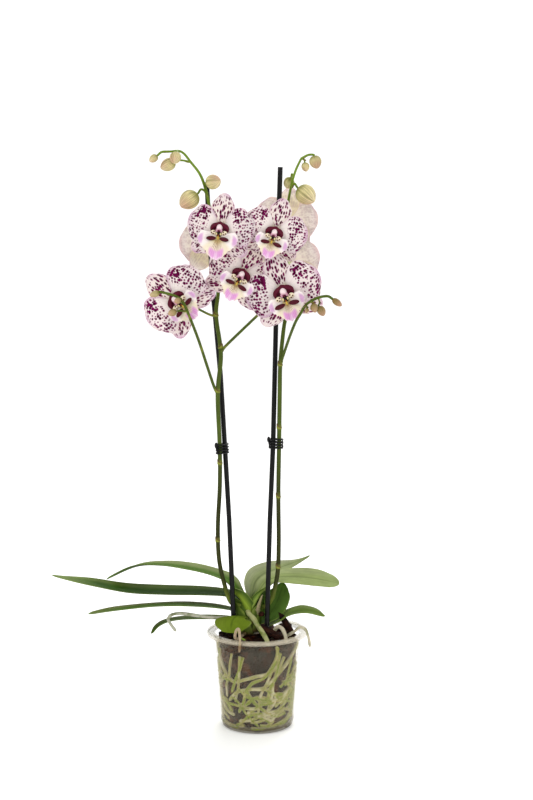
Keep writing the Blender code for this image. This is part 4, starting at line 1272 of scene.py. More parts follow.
# Each aerial root: its way, its radius at both ends and its colours when dry and when wet
AERIAL_ROOTS: dict[str, tuple[list[Point], float, float, str, str]] = {
    "aerial_root_left": (
        [
            (-0.020, -0.006, 0.131), (-0.034, -0.0085, 0.132), (-0.050, -0.015, 0.1335),
            (-0.068, -0.020, 0.137), (-0.088, -0.026, 0.1415), (-0.100, -0.030, 0.141),
            (-0.104, -0.032, 0.136), (-0.101, -0.033, 0.130), (-0.095, -0.034, 0.122),
        ],
        0.0020, 0.0018, "#aaa996", "#7c8060",
    ),
    "aerial_root_front": (
        [
            (-0.013, -0.006, 0.141), (-0.011, -0.010, 0.140), (-0.0095, -0.0165, 0.1385),
            (-0.004, -0.022, 0.134), (0.001, -0.028, 0.127), (0.007, -0.036, 0.120),
            (0.0115, -0.043, 0.1135), (0.0125, -0.0455, 0.1075),
        ],
        0.0030, 0.0027, "#9ea06c", "#6a7834",
    ),
    "aerial_root_over_rim": (
        [
            (-0.0130, -0.0080, 0.1140), (-0.0180, -0.0220, 0.1135), (-0.0225, -0.0340, 0.1135),
            (-0.0250, -0.0430, 0.1160), (-0.0255, -0.0495, 0.1220), (-0.0235, -0.0530, 0.1290),
            (-0.0210, -0.0565, 0.1300), (-0.0198, -0.0597, 0.1220), (-0.0198, -0.0600, 0.1130),
            (-0.0205, -0.0598, 0.1040),
        ],
        0.0018, 0.0015, "#a8967a", "#7c6648",
    ),
    "aerial_root_right": (
        [
            (-0.0060, -0.0060, 0.1125), (0.0080, -0.0085, 0.1110), (0.0220, -0.0100, 0.1105),
            (0.0340, -0.0160, 0.1120), (0.0430, -0.0245, 0.1190), (0.0500, -0.0310, 0.1260),
            (0.0565, -0.0340, 0.1245), (0.0595, -0.0360, 0.1180), (0.0610, -0.0365, 0.1110),
            (0.0620, -0.0370, 0.1040),
        ],
        0.0018, 0.0016, "#bdb59c", "#8f8f6c",
    ),
    "aerial_root_white": (
        [
            (0.0190, -0.0165, 0.1020), (0.0190, -0.0165, 0.1120), (0.0205, -0.0185, 0.1190),
            (0.0245, -0.0220, 0.1245), (0.0295, -0.0265, 0.1230), (0.0330, -0.0300, 0.1160),
            (0.0345, -0.0315, 0.1074),
        ],
        0.0025, 0.0022, "#b9b199", "#949174",
    ),
}


@dataclass
class AerialRoots(Part):
    """The thick roots that leave the crown above the bark."""

    seed: int = 5

    def build(self) -> None:
        """Lays each root along its way."""
        draw = random.Random(self.seed)
        for name, (points, first, last, dry, wet) in AERIAL_ROOTS.items():
            phase = draw.uniform(0.0, 6.0)

            def radius_at(
                share: float, first: float = first, last: float = last, phase: float = phase
            ) -> float:
                """Thins evenly, with slow swellings and a round tip."""
                swell = 1 + 0.06 * math.sin(23 * share + phase) + 0.03 * math.sin(51 * share)
                end = math.sqrt(max(1 - (max(share - 0.96, 0.0) / 0.04) ** 2, 0.03))
                return (first + (last - first) * share) * swell * end

            rod = tube(name + "_skin", smooth_path(points, 12), radius_at, 8)
            plain_paint(rod, linear(wet))
            dress(rod, RootVelamen(name + "_velamen", dry, 0.45).material(), Slot.ROOT, [name])


# Crown and leaves


def leaf_centre(path: Sequence[Vector], share: float) -> tuple[Vector, Vector]:
    """A point of a path and the way it heads there.

    Args:
        path: points along it, each span counted as equally long.
        share: how far along, from 0 to 1.

    Returns:
        The point and the unit heading.
    """
    spot = share * (len(path) - 1)
    low = min(int(spot), len(path) - 2)
    after = min(low + 2, len(path) - 1)
    first = path[low + 1] - path[max(low - 1, 0)]
    second = path[after] - path[low]
    heading = first.lerp(second, spot - low)
    return path[low].lerp(path[low + 1], spot - low), heading.normalized()


@dataclass(frozen=True)
class Leaf:
    """One strap leaf: a channelled blade with a sunk midrib.

    Its outline gives its width and its rolls give its turn in degrees, both from base to tip. Its
    fold says how deep the channel is.
    """

    name: str
    points: Sequence[Point]
    half_width: float
    outline: Sequence[float]
    fold: float
    rolls: tuple[float, float, float]
    upper: str = "#2c4a0e"
    # The sheen colour is painted sheen: the pale reflection that the far half of the upper face shows at a
    # grazing angle.
    sheen: str = "#606c3a"
    # The lower colour is the underside's own green, darkened further on the left leaves as painted shade.
    lower: str = "#2c4812"
    base: str = "#2c3d12"
    tip: str = "#86985a"
    thickness: float = 0.0015
    wave: float = 0.0012
    tip_round: float = 0.022
    vein_run: float = 0.15
    grid: Grid = (72, 20)
    edge_share: float = 0.55

    def place(self) -> Surface:
        """The middle surface of the blade."""
        path = smooth_path(self.points, 8)
        up = Vector((0.0, 0.0, 1.0))
        phase = 7.0 * self.half_width * 1000

        def at(u: float, v: float) -> Vector:
            """A point of the blade."""
            centre, ahead = leaf_centre(path, u - self.tip_round * v * v * rise(u, 0.5, 1.0))
            side = ahead.cross(up).normalized()
            side = Matrix.Rotation(math.radians(between(self.rolls, u)), 3, ahead) @ side
            normal = side.cross(ahead)
            reach = self.half_width * between(self.outline, u)
            channel = math.sqrt(v * v + 0.012) - 0.11
            ripple = self.wave * u * v * abs(v) * math.sin(9 * u + phase + (1.5 if v > 0 else 0.0))
            return centre + side * (v * reach) + normal * (channel * reach * self.fold + ripple)

        return at

    def paint(self, u: float, v: float, upper: bool) -> tuple[Colour, Point]:
        """Colour and vein place; the midrib is a dark line above and a pale keel below, and the far half of
        the upper face carries a painted sheen.
        """
        far = v if self.points[-1][0] < 0 else -v
        # The far half of the upper face is mixed towards the sheen colour: painted sheen, the pale
        # reflection of the bright room seen at a grazing angle.
        shine = 0.9 * rise(far, 0.15, 0.7) if upper else 0.0
        # The underside takes the lower colour, which holds painted shade on the left leaves.
        main = layered(self.upper if upper else self.lower, (self.sheen, shine))
        colour = layered(
            self.base, (main, rise(u, 0.02, 0.22)),
            ("#2b3d14" if upper else "#8c9a5a", 0.4 * (1 - rise(abs(v), 0.015, 0.085))),
            ("#8a9550", 0.35 * rise(abs(v), 0.93, 1.0)), (self.tip, 0.7 * rise(u, 0.80, 1.0)),
        )
        return colour, (v * self.half_width, u * self.vein_run, self.half_width)

    def blade(self, name: str) -> bpy.types.Object:
        """The blade's mesh under a name."""
        return sheet(name, self.place(), self.paint, self.grid, self.thickness, self.edge_share)

    def build(self, material: bpy.types.Material, slot: Slot) -> None:
        """Makes the blade.

        Args:
            material: its finish.
            slot: the record's slot.
        """
        dress(self.blade(self.name + "_blade"), material, slot, [self.name], 60.0)


@dataclass(frozen=True)
class DrySheath(Leaf):
    """The papery base of a lost leaf, straw with brown stripes."""

    vein_run: float = 0.03

    def paint(self, u: float, v: float, upper: bool) -> tuple[Colour, Point]:
        """Straw with dark lengthwise stripes."""
        stripe = 0.5 + 0.5 * math.sin(19 * v + 1.3 * math.sin(5 * u))
        brown, green = 0.8 * rise(stripe, 0.45, 0.95), 0.5 * (1 - rise(u, 0.0, 0.35))
        colour = layered("#b5ab82", ("#5d4a30", brown), ("#7c8a45", green))
        return colour, (v * self.half_width, u * self.vein_run, 0.0)


# How wide a leaf is from its base to its tip, as a share of its half width
TAPER = (0.30, 0.42, 0.66, 0.88, 1.0, 1.0, 0.92, 0.72, 0.22)
SLENDER = (0.30, 0.42, 0.66, 0.90, 1.0, 0.88, 0.62, 0.34, 0.10)
BLUNT = (0.26, 0.34, 0.55, 0.85, 1.0, 1.0, 0.96, 0.82, 0.42)
FRONT = (0.25, 0.25, 0.22, 0.24, 0.55, 0.92, 1.0, 0.85, 0.45)


LEAVES = (
    Leaf(
        "leaf_left_top",
        [
            (-0.018, 0.004, 0.155), (-0.0245, 0.008, 0.1635), (-0.034, 0.0135, 0.172),
            (-0.050, 0.020, 0.1765), (-0.078, 0.025, 0.1825), (-0.112, 0.030, 0.1865),
            (-0.146, 0.034, 0.1845), (-0.183, 0.036, 0.168),
        ],
        0.0200, TAPER, 0.20, (0, 2, 8), upper="#4c6a24", sheen="#7e8858", lower="#3b5a1c", base="#3b4f1b",
        tip="#5f7438",
    ),
    Leaf(
        "leaf_left_long",
        [
            (-0.017, 0.004, 0.148), (-0.025, 0.008, 0.153), (-0.040, 0.013, 0.156),
            (-0.070, 0.016, 0.157), (-0.110, 0.013, 0.158), (-0.155, 0.006, 0.162),
            (-0.200, -0.002, 0.173), (-0.243, -0.007, 0.183),
        ],
        0.0215, TAPER, 0.12, (0, -3, -1), sheen="#4e5e2a",
    ),
    Leaf(
        "leaf_left_middle",
        [
            (-0.016, 0.000, 0.134), (-0.026, 0.002, 0.138), (-0.050, -0.001, 0.143),
            (-0.084, -0.011, 0.148), (-0.120, -0.023, 0.150), (-0.160, -0.037, 0.149),
            (-0.196, -0.046, 0.146),
        ],
        0.0185, TAPER, 0.10, (0, 5, 4), upper="#41601a", sheen="#6a7044", lower="#48681c", tip="#6f7c48",
    ),
    Leaf(
        "leaf_left_low",
        [
            (-0.016, 0.004, 0.121), (-0.026, 0.010, 0.125), (-0.050, 0.013, 0.126),
            (-0.080, 0.008, 0.127), (-0.104, 0.000, 0.126), (-0.118, -0.006, 0.121),
            (-0.126, -0.010, 0.113),
        ],
        0.0150, SLENDER, 0.12, (0, 5, 4), upper="#546a2c", sheen="#6e744e", lower="#4a661e",
        tip="#4a6222",
    ),
    Leaf(
        "leaf_left_front",
        [
            (-0.012, -0.002, 0.128), (-0.014, -0.0115, 0.1330), (-0.020, -0.0205, 0.1365),
            (-0.026, -0.0285, 0.1370), (-0.0295, -0.0365, 0.1320), (-0.0310, -0.0425, 0.1225),
        ],
        0.0230, FRONT, -0.10, (0, 0, 0), upper="#62761f", sheen="#6b7d28", lower="#647826",
        base="#4e6420", tip="#5c701e",
    ),
    Leaf(
        "leaf_right_back",
        [
            (-0.006, 0.006, 0.147), (-0.006, 0.015, 0.156), (-0.003, 0.026, 0.1655),
            (0.006, 0.038, 0.173), (0.025, 0.047, 0.179), (0.046, 0.053, 0.185), (0.064, 0.057, 0.193),
        ],
        0.0170, (0.30, 0.42, 0.66, 0.88, 1.0, 0.96, 0.76, 0.48, 0.14), 0.10, (16, 24, 4), upper="#8b9666",
        sheen="#989e7a", lower="#8f9a6c", base="#55692c", tip="#5f7038",
    ),
    Leaf(
        "leaf_right_long",
        [
            (-0.005, 0.000, 0.150), (0.003, 0.005, 0.162), (0.013, 0.012, 0.172), (0.030, 0.0155, 0.1755),
            (0.051, 0.0135, 0.1755), (0.075, 0.010, 0.1735), (0.098, 0.007, 0.1695),
        ],
        0.0213, (0.26, 0.34, 0.55, 0.85, 1.0, 1.0, 0.97, 0.90, 0.66), 0.10, (0, 8, 22), upper="#87955a",
        # The dark green base is painted shadow, for the foot of this blade seen edge on in shade.
        sheen="#959f6e", lower="#8c9862", base="#2c4014", tip="#8d9c62", tip_round=0.075,
    ),
    Leaf(
        "leaf_right_upright",
        [
            (-0.008, 0.002, 0.119), (0.003, 0.002, 0.123), (0.013, 0.004, 0.130), (0.021, 0.009, 0.141),
            (0.027, 0.014, 0.154), (0.031, 0.019, 0.168),
        ],
        0.0178, BLUNT, 0.18, (0, 14, 20), upper="#557430", sheen="#5c7b34", lower="#56742e",
        base="#486026", tip="#56762e", tip_round=0.075,
    ),
    Leaf(
        "leaf_right_low",
        [
            (-0.008, -0.002, 0.1125), (0.006, -0.002, 0.1165), (0.020, -0.004, 0.1250),
            (0.034, -0.005, 0.1340), (0.050, -0.009, 0.1400), (0.066, -0.012, 0.1400),
            (0.080, -0.017, 0.1360),
        ],
        0.0125, TAPER, 0.16, (0, 8, 12), upper="#5f7730", sheen="#74844c", lower="#5b7430",
        base="#41561c", tip="#6a7e38",
    ),
)
DRY_SHEATH = DrySheath(
    "dry_sheath",
    [
        (-0.003, -0.0090, 0.1300), (0.0005, -0.0105, 0.1380), (0.0030, -0.0100, 0.1480),
        (0.0065, -0.0095, 0.1600),
    ],
    0.0042, (0.80, 1.0, 0.90, 0.60, 0.15), 0.35, (-60, -60, -50), thickness=0.0008, wave=0.0006,
)


@dataclass
class Foliage(Part):
    """The nine leaves and the dry sheath."""

    leaves: Sequence[Leaf] = LEAVES
    sheath: DrySheath = DRY_SHEATH

    def build(self) -> None:
        """Makes each leaf, then the sheath."""
        skin = VeinedSkin("leaf_skin", 1.1, 0.12, 0.45, specular=0.015, mottle=0.12)
        green = skin.material()
        for leaf in self.leaves:
            leaf.build(green, Slot.LEAF)
        paper = VeinedSkin("dry_leaf_base", 0.5, 0.35, 0.85, mottle=0.2)
        self.sheath.build(paper.material(), Slot.SHEATH)


@dataclass(frozen=True)
class LeafNeck(Leaf):
    """The folded foot of a young leaf, where it leaves the crown."""

    vein_run: float = 0.04
    thickness: float = 0.0014
    grid: Grid = (24, 20)
    edge_share: float = 0.6

    def paint(self, u: float, v: float, upper: bool) -> tuple[Colour, Point]:
        """Yellow-green along its back, with painted shade darkening its sides."""
        # flank is painted shade down the sides of the fold, which turn away from the light.
        flank, edge = rise(abs(v), 0.15, 0.85), 0.6 * rise(abs(v), 0.90, 1.0)
        colour = layered(self.upper, ("#3f561c", flank), ("#8a9a44", edge))
        return colour, (v * self.half_width, u * self.vein_run, self.half_width)


# The folded necks of the youngest leaves, which part in a V above the bases
NECKS = (
    LeafNeck(
        "neck_left",
        [
            (-0.0060, -0.0085, 0.1290), (-0.0085, -0.0115, 0.1380), (-0.0140, -0.0115, 0.1475),
            (-0.0205, -0.0075, 0.1555), (-0.0285, -0.0010, 0.1610),
        ],
        0.0088, (0.75, 0.95, 1.0, 0.95, 0.75), 0.60, (80, 80, 60), upper="#7d942e",
    ),
    LeafNeck(
        "neck_left_low",
        [
            (-0.0110, -0.0060, 0.1250), (-0.0170, -0.0065, 0.1370), (-0.0245, -0.0030, 0.1460),
            (-0.0325, 0.0020, 0.1520),
        ],
        # Its dark green is painted shade, for the neck that lies in the shadow under the left leaves.
        0.0085, (0.85, 1.0, 0.95, 0.75, 0.45), 0.40, (80, 80, 60), upper="#4f6622",
    ),
    LeafNeck(
        "neck_right_back",
        [
            (-0.0070, -0.0020, 0.1300), (-0.0020, -0.0030, 0.1410), (0.0050, -0.0010, 0.1520),
            (0.0120, 0.0040, 0.1620),
        ],
        0.0085, (0.85, 1.0, 1.0, 0.90, 0.60), 0.40, (-80, -80, -60), upper="#3c5420",
    ),
    LeafNeck(
        "neck_right",
        [
            (-0.0095, -0.0070, 0.1330), (-0.0070, -0.0100, 0.1420), (-0.0020, -0.0090, 0.1520),
            (0.0045, -0.0055, 0.1610), (0.0105, 0.0010, 0.1665),
        ],
        0.0056, (0.75, 1.0, 0.95, 0.75, 0.35), 0.60, (-80, -80, -60), upper="#7f9640",
    ),
)


@dataclass
class Crown(Part):
    """The short stem wrapped in the bases of the leaves."""

    centre: Point = COLLAR
    base_grid: Grid = (16, 24)
    base_thickness: float = 0.0011
    stretch: tuple[float, float] = (1.25, 0.95)
    profile: Sequence[tuple[float, float]] = (
        (0.0055, 0.1085), (0.0078, 0.1100), (0.0095, 0.1165), (0.0108, 0.1230), (0.0112, 0.1290),
        (0.0110, 0.1365), (0.0098, 0.1430), (0.0076, 0.1480), (0.0048, 0.1515), (0.0020, 0.1530),
    )
    # Each leaf base: its heading in degrees, its low end, its height, its radius and its spread
    bases: Sequence[tuple[float, float, float, float, float]] = (
        (200, 0.112, 0.034, 0.0128, 1.25), (20, 0.116, 0.032, 0.0131, 1.2),
        (188, 0.122, 0.031, 0.0132, 1.15), (-8, 0.126, 0.028, 0.0128, 1.1),
    )
    necks: Sequence[LeafNeck] = NECKS

    def base_place(self, heading: float, low: float, tall: float, reach: float, spread: float) -> Surface:
        """A leaf base that clasps the stem and leans out at its top.

        Args:
            heading: the way the leaf leaves, in degrees from +X.
            low: the height that it starts at.
            tall: its height.
            reach: its radius.
            spread: half the angle that it clasps, in radians.

        Returns:
            Its middle surface.
        """

        def at(u: float, v: float) -> Vector:
            """A point of the base."""
            angle = math.radians(heading) + v * spread * 1.35 * (1 - 0.25 * u)
            radius = reach * (0.86 + 0.20 * u * u * math.cos(0.9 * v) + 0.05 * math.sin(math.pi * u))
            height = low + tall * u * (1 - 0.42 * abs(v) ** 1.6)
            x = self.centre[0] + radius * self.stretch[0] * math.cos(angle)
            y = self.centre[1] + radius * self.stretch[1] * math.sin(angle)
            return Vector((x, y, height))

        return at

    def paint(self, u: float, v: float, upper: bool) -> tuple[Colour, Point]:
        """Yellow-green at the edges and brown where the base meets the bark."""
        green = layered("#4a5f1e", ("#76873a", rise(abs(v), 0.55, 0.95)))
        colour = layered("#5a4a2a", (green, rise(u, 0.0, 0.25)))
        return colour, (v * 0.016, u * 0.03, 0.0)

    def build(self) -> None:
        """Turns the stem and wraps the leaf bases round it."""
        stem = turned("crown_stem", list(self.profile), 48)
        shape = Matrix.Translation(self.centre) @ Matrix.Diagonal((*self.stretch, 1.0, 1.0))
        stem.data.transform(shape)
        low, high = linear("#5a5530"), linear("#4d6420")
        verts = stem.data.vertices
        painted(
            stem, [blended(low, high, rise(vert.co.z, 0.110, 0.132)) for vert in verts],
            [(vert.co.x + vert.co.y, vert.co.z, 0.0) for vert in verts],
        )
        pieces = [stem]
        for base in self.bases:
            place = self.base_place(*base)
            pieces.append(sheet("leaf_base", place, self.paint, self.base_grid, self.base_thickness, 0.4))
        pieces += [neck.blade(neck.name) for neck in self.necks]
        skin = VeinedSkin("crown_skin", 0.9, 0.14, 0.45, mottle=0.12, subsurface=0.05)
        dress(joined("crown_folds", pieces), skin.material(), Slot.CROWN, ["crown"])


# Sticks and clips

STICK_RADIUS = 0.0029
STICK_WAYS: dict[str, list[Point]] = {
    "stick_left": [
        (*LEFT_SOCKET, 0.0120), (*LEFT_SOCKET, 0.1120), (-0.0330, -0.0080, 0.2500),
        (-0.0380, 0.0010, 0.3340), (-0.0430, 0.0045, 0.4200), (-0.0520, 0.0065, 0.5220),
        (-0.0582, 0.0080, 0.6400),
    ],
    "stick_right": [
        (*RIGHT_SOCKET, 0.0120), (*RIGHT_SOCKET, 0.1120), (0.0150, -0.0090, 0.2500),
        (0.0188, -0.0020, 0.3400), (0.0220, 0.0030, 0.4780), (0.0258, 0.0070, 0.6240),
        (0.0270, 0.0080, 0.6620),
    ],
}


def at_height(path: Sequence[Vector], height: float) -> Vector:
    """Where a path that climbs passes a height.

    Args:
        path: its points.
        height: the height.

    Returns:
        The place there.
    """
    for start, end in zip(path, path[1:]):
        if start.z <= height <= end.z:
            return start.lerp(end, (height - start.z) / (end.z - start.z))
    return path[-1]


@dataclass
class Sticks(Part):
    """The two black support sticks, cut off flat at the top."""

    def build(self) -> None:
        """Draws each stick along its bend and rounds the rim of its cut."""
        satin = MouldedPlastic("black_stick_plastic", "#050506", 0.3).material()
        for name, points in STICK_WAYS.items():
            path = [Vector(points[0])]
            for start, end in zip(points, points[1:]):
                first, last = Vector(start), Vector(end)
                path += [first.lerp(last, step / 6) for step in range(1, 7)]
            stick = tube(name + "_rod", path, lambda share: STICK_RADIUS, 10)
            rim = stick.modifiers.new("Rim", "BEVEL")
            rim.width = 0.0003
            rim.segments = 2
            rim.limit_method = "ANGLE"
            rim.angle_limit = math.radians(60)
            dress(applied(stick), satin, Slot.STICK, [name], 35.0)


@dataclass
class Clip(Part):
    """A spring clip: thin ribs bent round stick and stem, a spine and a press knob."""

    name: str
    stick: str
    stem: Sequence[Point]
    height: float
    bar: float = 0.0009
    pitch: float = 0.0033
    ribs: int = 4
    gap: float = 0.0003
    bend_steps: int = 12
    knob_half: Point = (0.0020, 0.0017, 0.0036)
    knob_shift: Point = (-0.0013, -0.0008, -0.0005)
    tail_steps: Sequence[Point] = ((0.0006, -0.0012, -0.005), (0.002, 0.0, -0.0105))

    def ring(self, height: float) -> tuple[bpy.types.Object, Vector, Vector, float]:
        """One rib.

        Args:
            height: the height that it lies at.

        Returns:
            The rib, its middle, the way from stick to stem and its half length.
        """
        stick = at_height([Vector(point) for point in STICK_WAYS[self.stick]], height)
        stem = at_height([Vector(point) for point in self.stem], height)
        first, second = sorted((stick, stem), key=lambda end: end.x)
        middle = (first + second) / 2
        along = (second - first).normalized()
        reach = (second - first).length / 2
        away = STICK_RADIUS + self.gap + self.bar
        start = math.atan2(along.y, along.x)
        path = []
        for side, end in enumerate((along * reach, -along * reach)):
            for step in range(self.bend_steps + 1):
                angle = start + math.pi * (side - 0.5 + step / self.bend_steps)
                path.append(middle + end + Vector((math.cos(angle), math.sin(angle), 0.0)) * away)
        return tube("rib", path, lambda share: self.bar, 3, True), middle, along, reach + away

    def build(self) -> None:
        """Stacks the ribs on their spine and adds the knob and the toothed jaw."""
        pieces = []
        ends = []
        for level in range(self.ribs):
            place = self.height + (level - (self.ribs - 1) / 2) * self.pitch
            rib, middle, along, reach = self.ring(place)
            pieces.append(rib)
            ends.append((middle - along * reach, middle + along * reach))
        past = Vector((0.0, 0.0, self.bar * 1.2))
        left, right = (
            [ends[0][side] - past] + [end[side] for end in ends] + [ends[-1][side] + past] for side in (0, 1)
        )
        pieces.append(tube("spine", left, lambda share: self.bar * 1.25, 4))
        teeth = smooth_path(right, 4)
        pieces.append(tube("jaw", teeth, lambda share: self.bar * (1.0 + 0.3 * math.sin(25 * share)), 4))
        knob = ends[-1][0] + Vector(self.knob_shift)
        pieces.append(ball("knob", knob, self.knob_half, Matrix.Identity(3)))
        tail = [knob] + [knob + Vector(step) for step in self.tail_steps]
        pieces.append(tube("tail", smooth_path(tail, 5), lambda share: 0.0011 - 0.0004 * share, 4))
        shiny = MouldedPlastic(self.name + "_plastic", "#050506", 0.28).material()
        dress(joined(self.name + "_ribs", pieces), shiny, Slot.CLIP, [self.name], 40.0)


# Blooms


def bloom_turn(roll: float, tilt: float, yaw: float) -> Matrix:
    """A bloom's rotation from its roll, its tilt and its yaw in degrees."""
    return (
        Matrix.Rotation(math.radians(yaw), 3, "Z")
        @ Matrix.Rotation(math.radians(tilt), 3, "X")
        @ Matrix.Rotation(math.radians(roll), 3, "Y")
    )


class TepalKind(Enum):
    """The two kinds of blade in the flower's outer rings."""

    SEPAL = "sepal"
    PETAL = "petal"


@dataclass(frozen=True)
class Tepal:
    """One sepal or petal; its angle is clockwise from straight up as the bloom is seen."""

    kind: TepalKind
    angle: float
    length: float
    width: float
    outline: Sequence[float]
    back: float
    wave: float
    rows: float
    seed: float

    def spot(self, u: float, v: float) -> Vector:
        """A point of its middle surface in the bloom's own axes."""
        ahead = Vector((math.sin(self.angle), 0.0, math.cos(self.angle)))
        side = Vector((math.cos(self.angle), 0.0, -math.sin(self.angle)))
        reach = self.width / 2 * between(self.outline, u)
        round_off = 0.20 * (1 - math.sqrt(1 - 0.92 * v * v)) * u**3
        out = 0.0025 + self.length * (u - round_off)
        depth = self.back - 0.0030 * math.sin(math.pi * u) + 0.0030 * u * u
        depth += self.wave * u * math.sin(3.0 * v + 2.0 * self.angle)
        ripple = 0.00045 * u * abs(v) ** 3 * math.sin(11 * u + self.seed + 2.0 * v)
        keel = -0.0004 * math.exp(-((v / 0.09) ** 2)) * (1 - u)
        return ahead * out + side * (reach * v) + Vector((0.0, depth + ripple + keel, 0.0))

    def crowding(self, u: float, v: float) -> float:
        """How thick the spots stand, from none at 0 to running together at 1.5."""
        edge = max(abs(v), u * u)
        rim = 1 - 0.72 * rise(edge, 0.80, 0.99)
        if self.kind is TepalKind.SEPAL:
            middle = 0.78 + 0.30 * math.exp(-((v / 0.5) ** 2)) * (1 - rise(u, 0.55, 0.95))
            return middle * rise(u, 0.10, 0.20) * rim
        upper = v if self.angle < 0 else -v
        near = 0.65 * rise(upper, 0.0, 0.7) * rise(u, 0.26, 0.4) * (1 - rise(u, 0.6, 0.9))
        low = 0.40 * rise(-upper, 0.3, 0.9) * rise(u, 0.45, 0.75) * (1 - rise(u, 0.8, 0.97))
        inner = rise(u, 0.26 + 0.10 * rise(-upper, -0.5, 0.6), 0.44)
        return (0.86 + near + low) * inner * rim

    def paint(self, u: float, v: float, upper: bool) -> tuple[Colour, Point]:
        """White towards the middle and lilac at the rim; its back is paler, with faint spots, and that
        near-white back is raised as painted light for the backs that lie in shade.
        """
        edge = rise(max(abs(v) ** 2.2, u**3), 0.55, 1.0)
        foot = rise(u, 0.02, 0.16)
        sepal = self.kind is TepalKind.SEPAL
        if upper:
            flush = 0.4 + 0.4 * math.sin(self.seed + 2.0 * v)
            face = layered("#f7f0ef", ("#f0e7e6", rise(u, 0.25, 0.6)), ("#cfa2c6", flush * edge))
            colour = layered("#e6dfc8", (face, foot))
        else:
            yellow = (0.8 if sepal else 0.25) * (1 - rise(u, 0.5, 1.0))
            # The back's near-white is partly its own paler colour and partly painted light that brightens
            # the backs of the blooms shaded by the front ones.
            face = layered("#fffaf5", ("#f7e2dd", 0.8 * edge))
            colour = layered("#e6dfc8", (face, foot), ("#f8eec4", yellow))
        row = v * self.rows + self.seed * 3.7
        dot = u * (6.8 if sepal else 11.5) + self.seed
        return (*colour[:3], 1.0 if upper else BACK_STRENGTH), (row, dot, self.crowding(u, v))


# How strongly a petal's spots show through on its back
BACK_STRENGTH = 0.10
SEPAL_OUTLINE = (0.30, 0.78, 1.0, 0.95, 0.56)
PETAL_OUTLINE = (0.16, 0.62, 0.93, 1.0, 0.90, 0.56)
LATERAL_ANGLE = math.radians(131)
PETAL_ANGLE = math.radians(80)
LIP_SWEEP = math.radians(82)
# How far the lip reaches, in millimetres, from its middle to its side
LIP_EDGE = (31.0, 28.4, 24.6, 24.1, 23.4, 21.6, 16.8)
TEPAL_THICKNESS = 0.0008
TEPAL_GRID: Grid = (30, 22)
LIP_GRID: Grid = (34, 72)
HOOD_SWEEP = math.radians(112)
HOOD_STEPS = 16
HOOD_REACH = 0.0092

# The waxy swellings of a bloom: each its middle, its half sizes and its colour
Swelling = tuple[Point, Point, str]
COLUMN_CAP: Swelling = ((0, -0.0076, 0.0012), (0.0033, 0.0046, 0.0042), "#c98aa2")
COLUMN_TOOTH: Swelling = ((0.0026, -0.0092, -0.0018), (0.0012, 0.0014, 0.0020), "#cf9aae")
COLUMN_TIP: Swelling = ((0, -0.0118, -0.0022), (0.0014, 0.0009, 0.0011), "#5f162c")
HOOD_BACK: list[Swelling] = [
    ((0, -0.0030, -0.0002), (HOOD_REACH, 0.0026, 0.0066), "#5c0828"),
    ((0, -0.0074, -0.0056), (0.0034, 0.0034, 0.0034), "#1f0508"),
]
# On each side of the hood: a pale eye, three dots on it and a tooth
HOOD_SIDE: list[Swelling] = [
    ((0.0066, -0.0088, -0.0044), (0.0032, 0.0019, 0.0027), "#e8dabb"),
    ((0.0054, -0.0103, -0.0034), (0.0009, 0.0006, 0.0008), "#4e0a1c"),
    ((0.0080, -0.0103, -0.0048), (0.0009, 0.0006, 0.0008), "#4e0a1c"),
    ((0.0060, -0.0103, -0.0060), (0.0009, 0.0006, 0.0008), "#4e0a1c"),
    ((0.0024, -0.0098, -0.0058), (0.0010, 0.0010, 0.0016), "#ead9a0"),
]
CALLUS: list[Swelling] = [
    ((0, -0.0108, -0.0100), (0.0010, 0.0016, 0.0022), "#cfae48"),
    ((0, -0.0112, -0.0076), (0.0008, 0.0009, 0.0012), "#8f4a1c"),
]


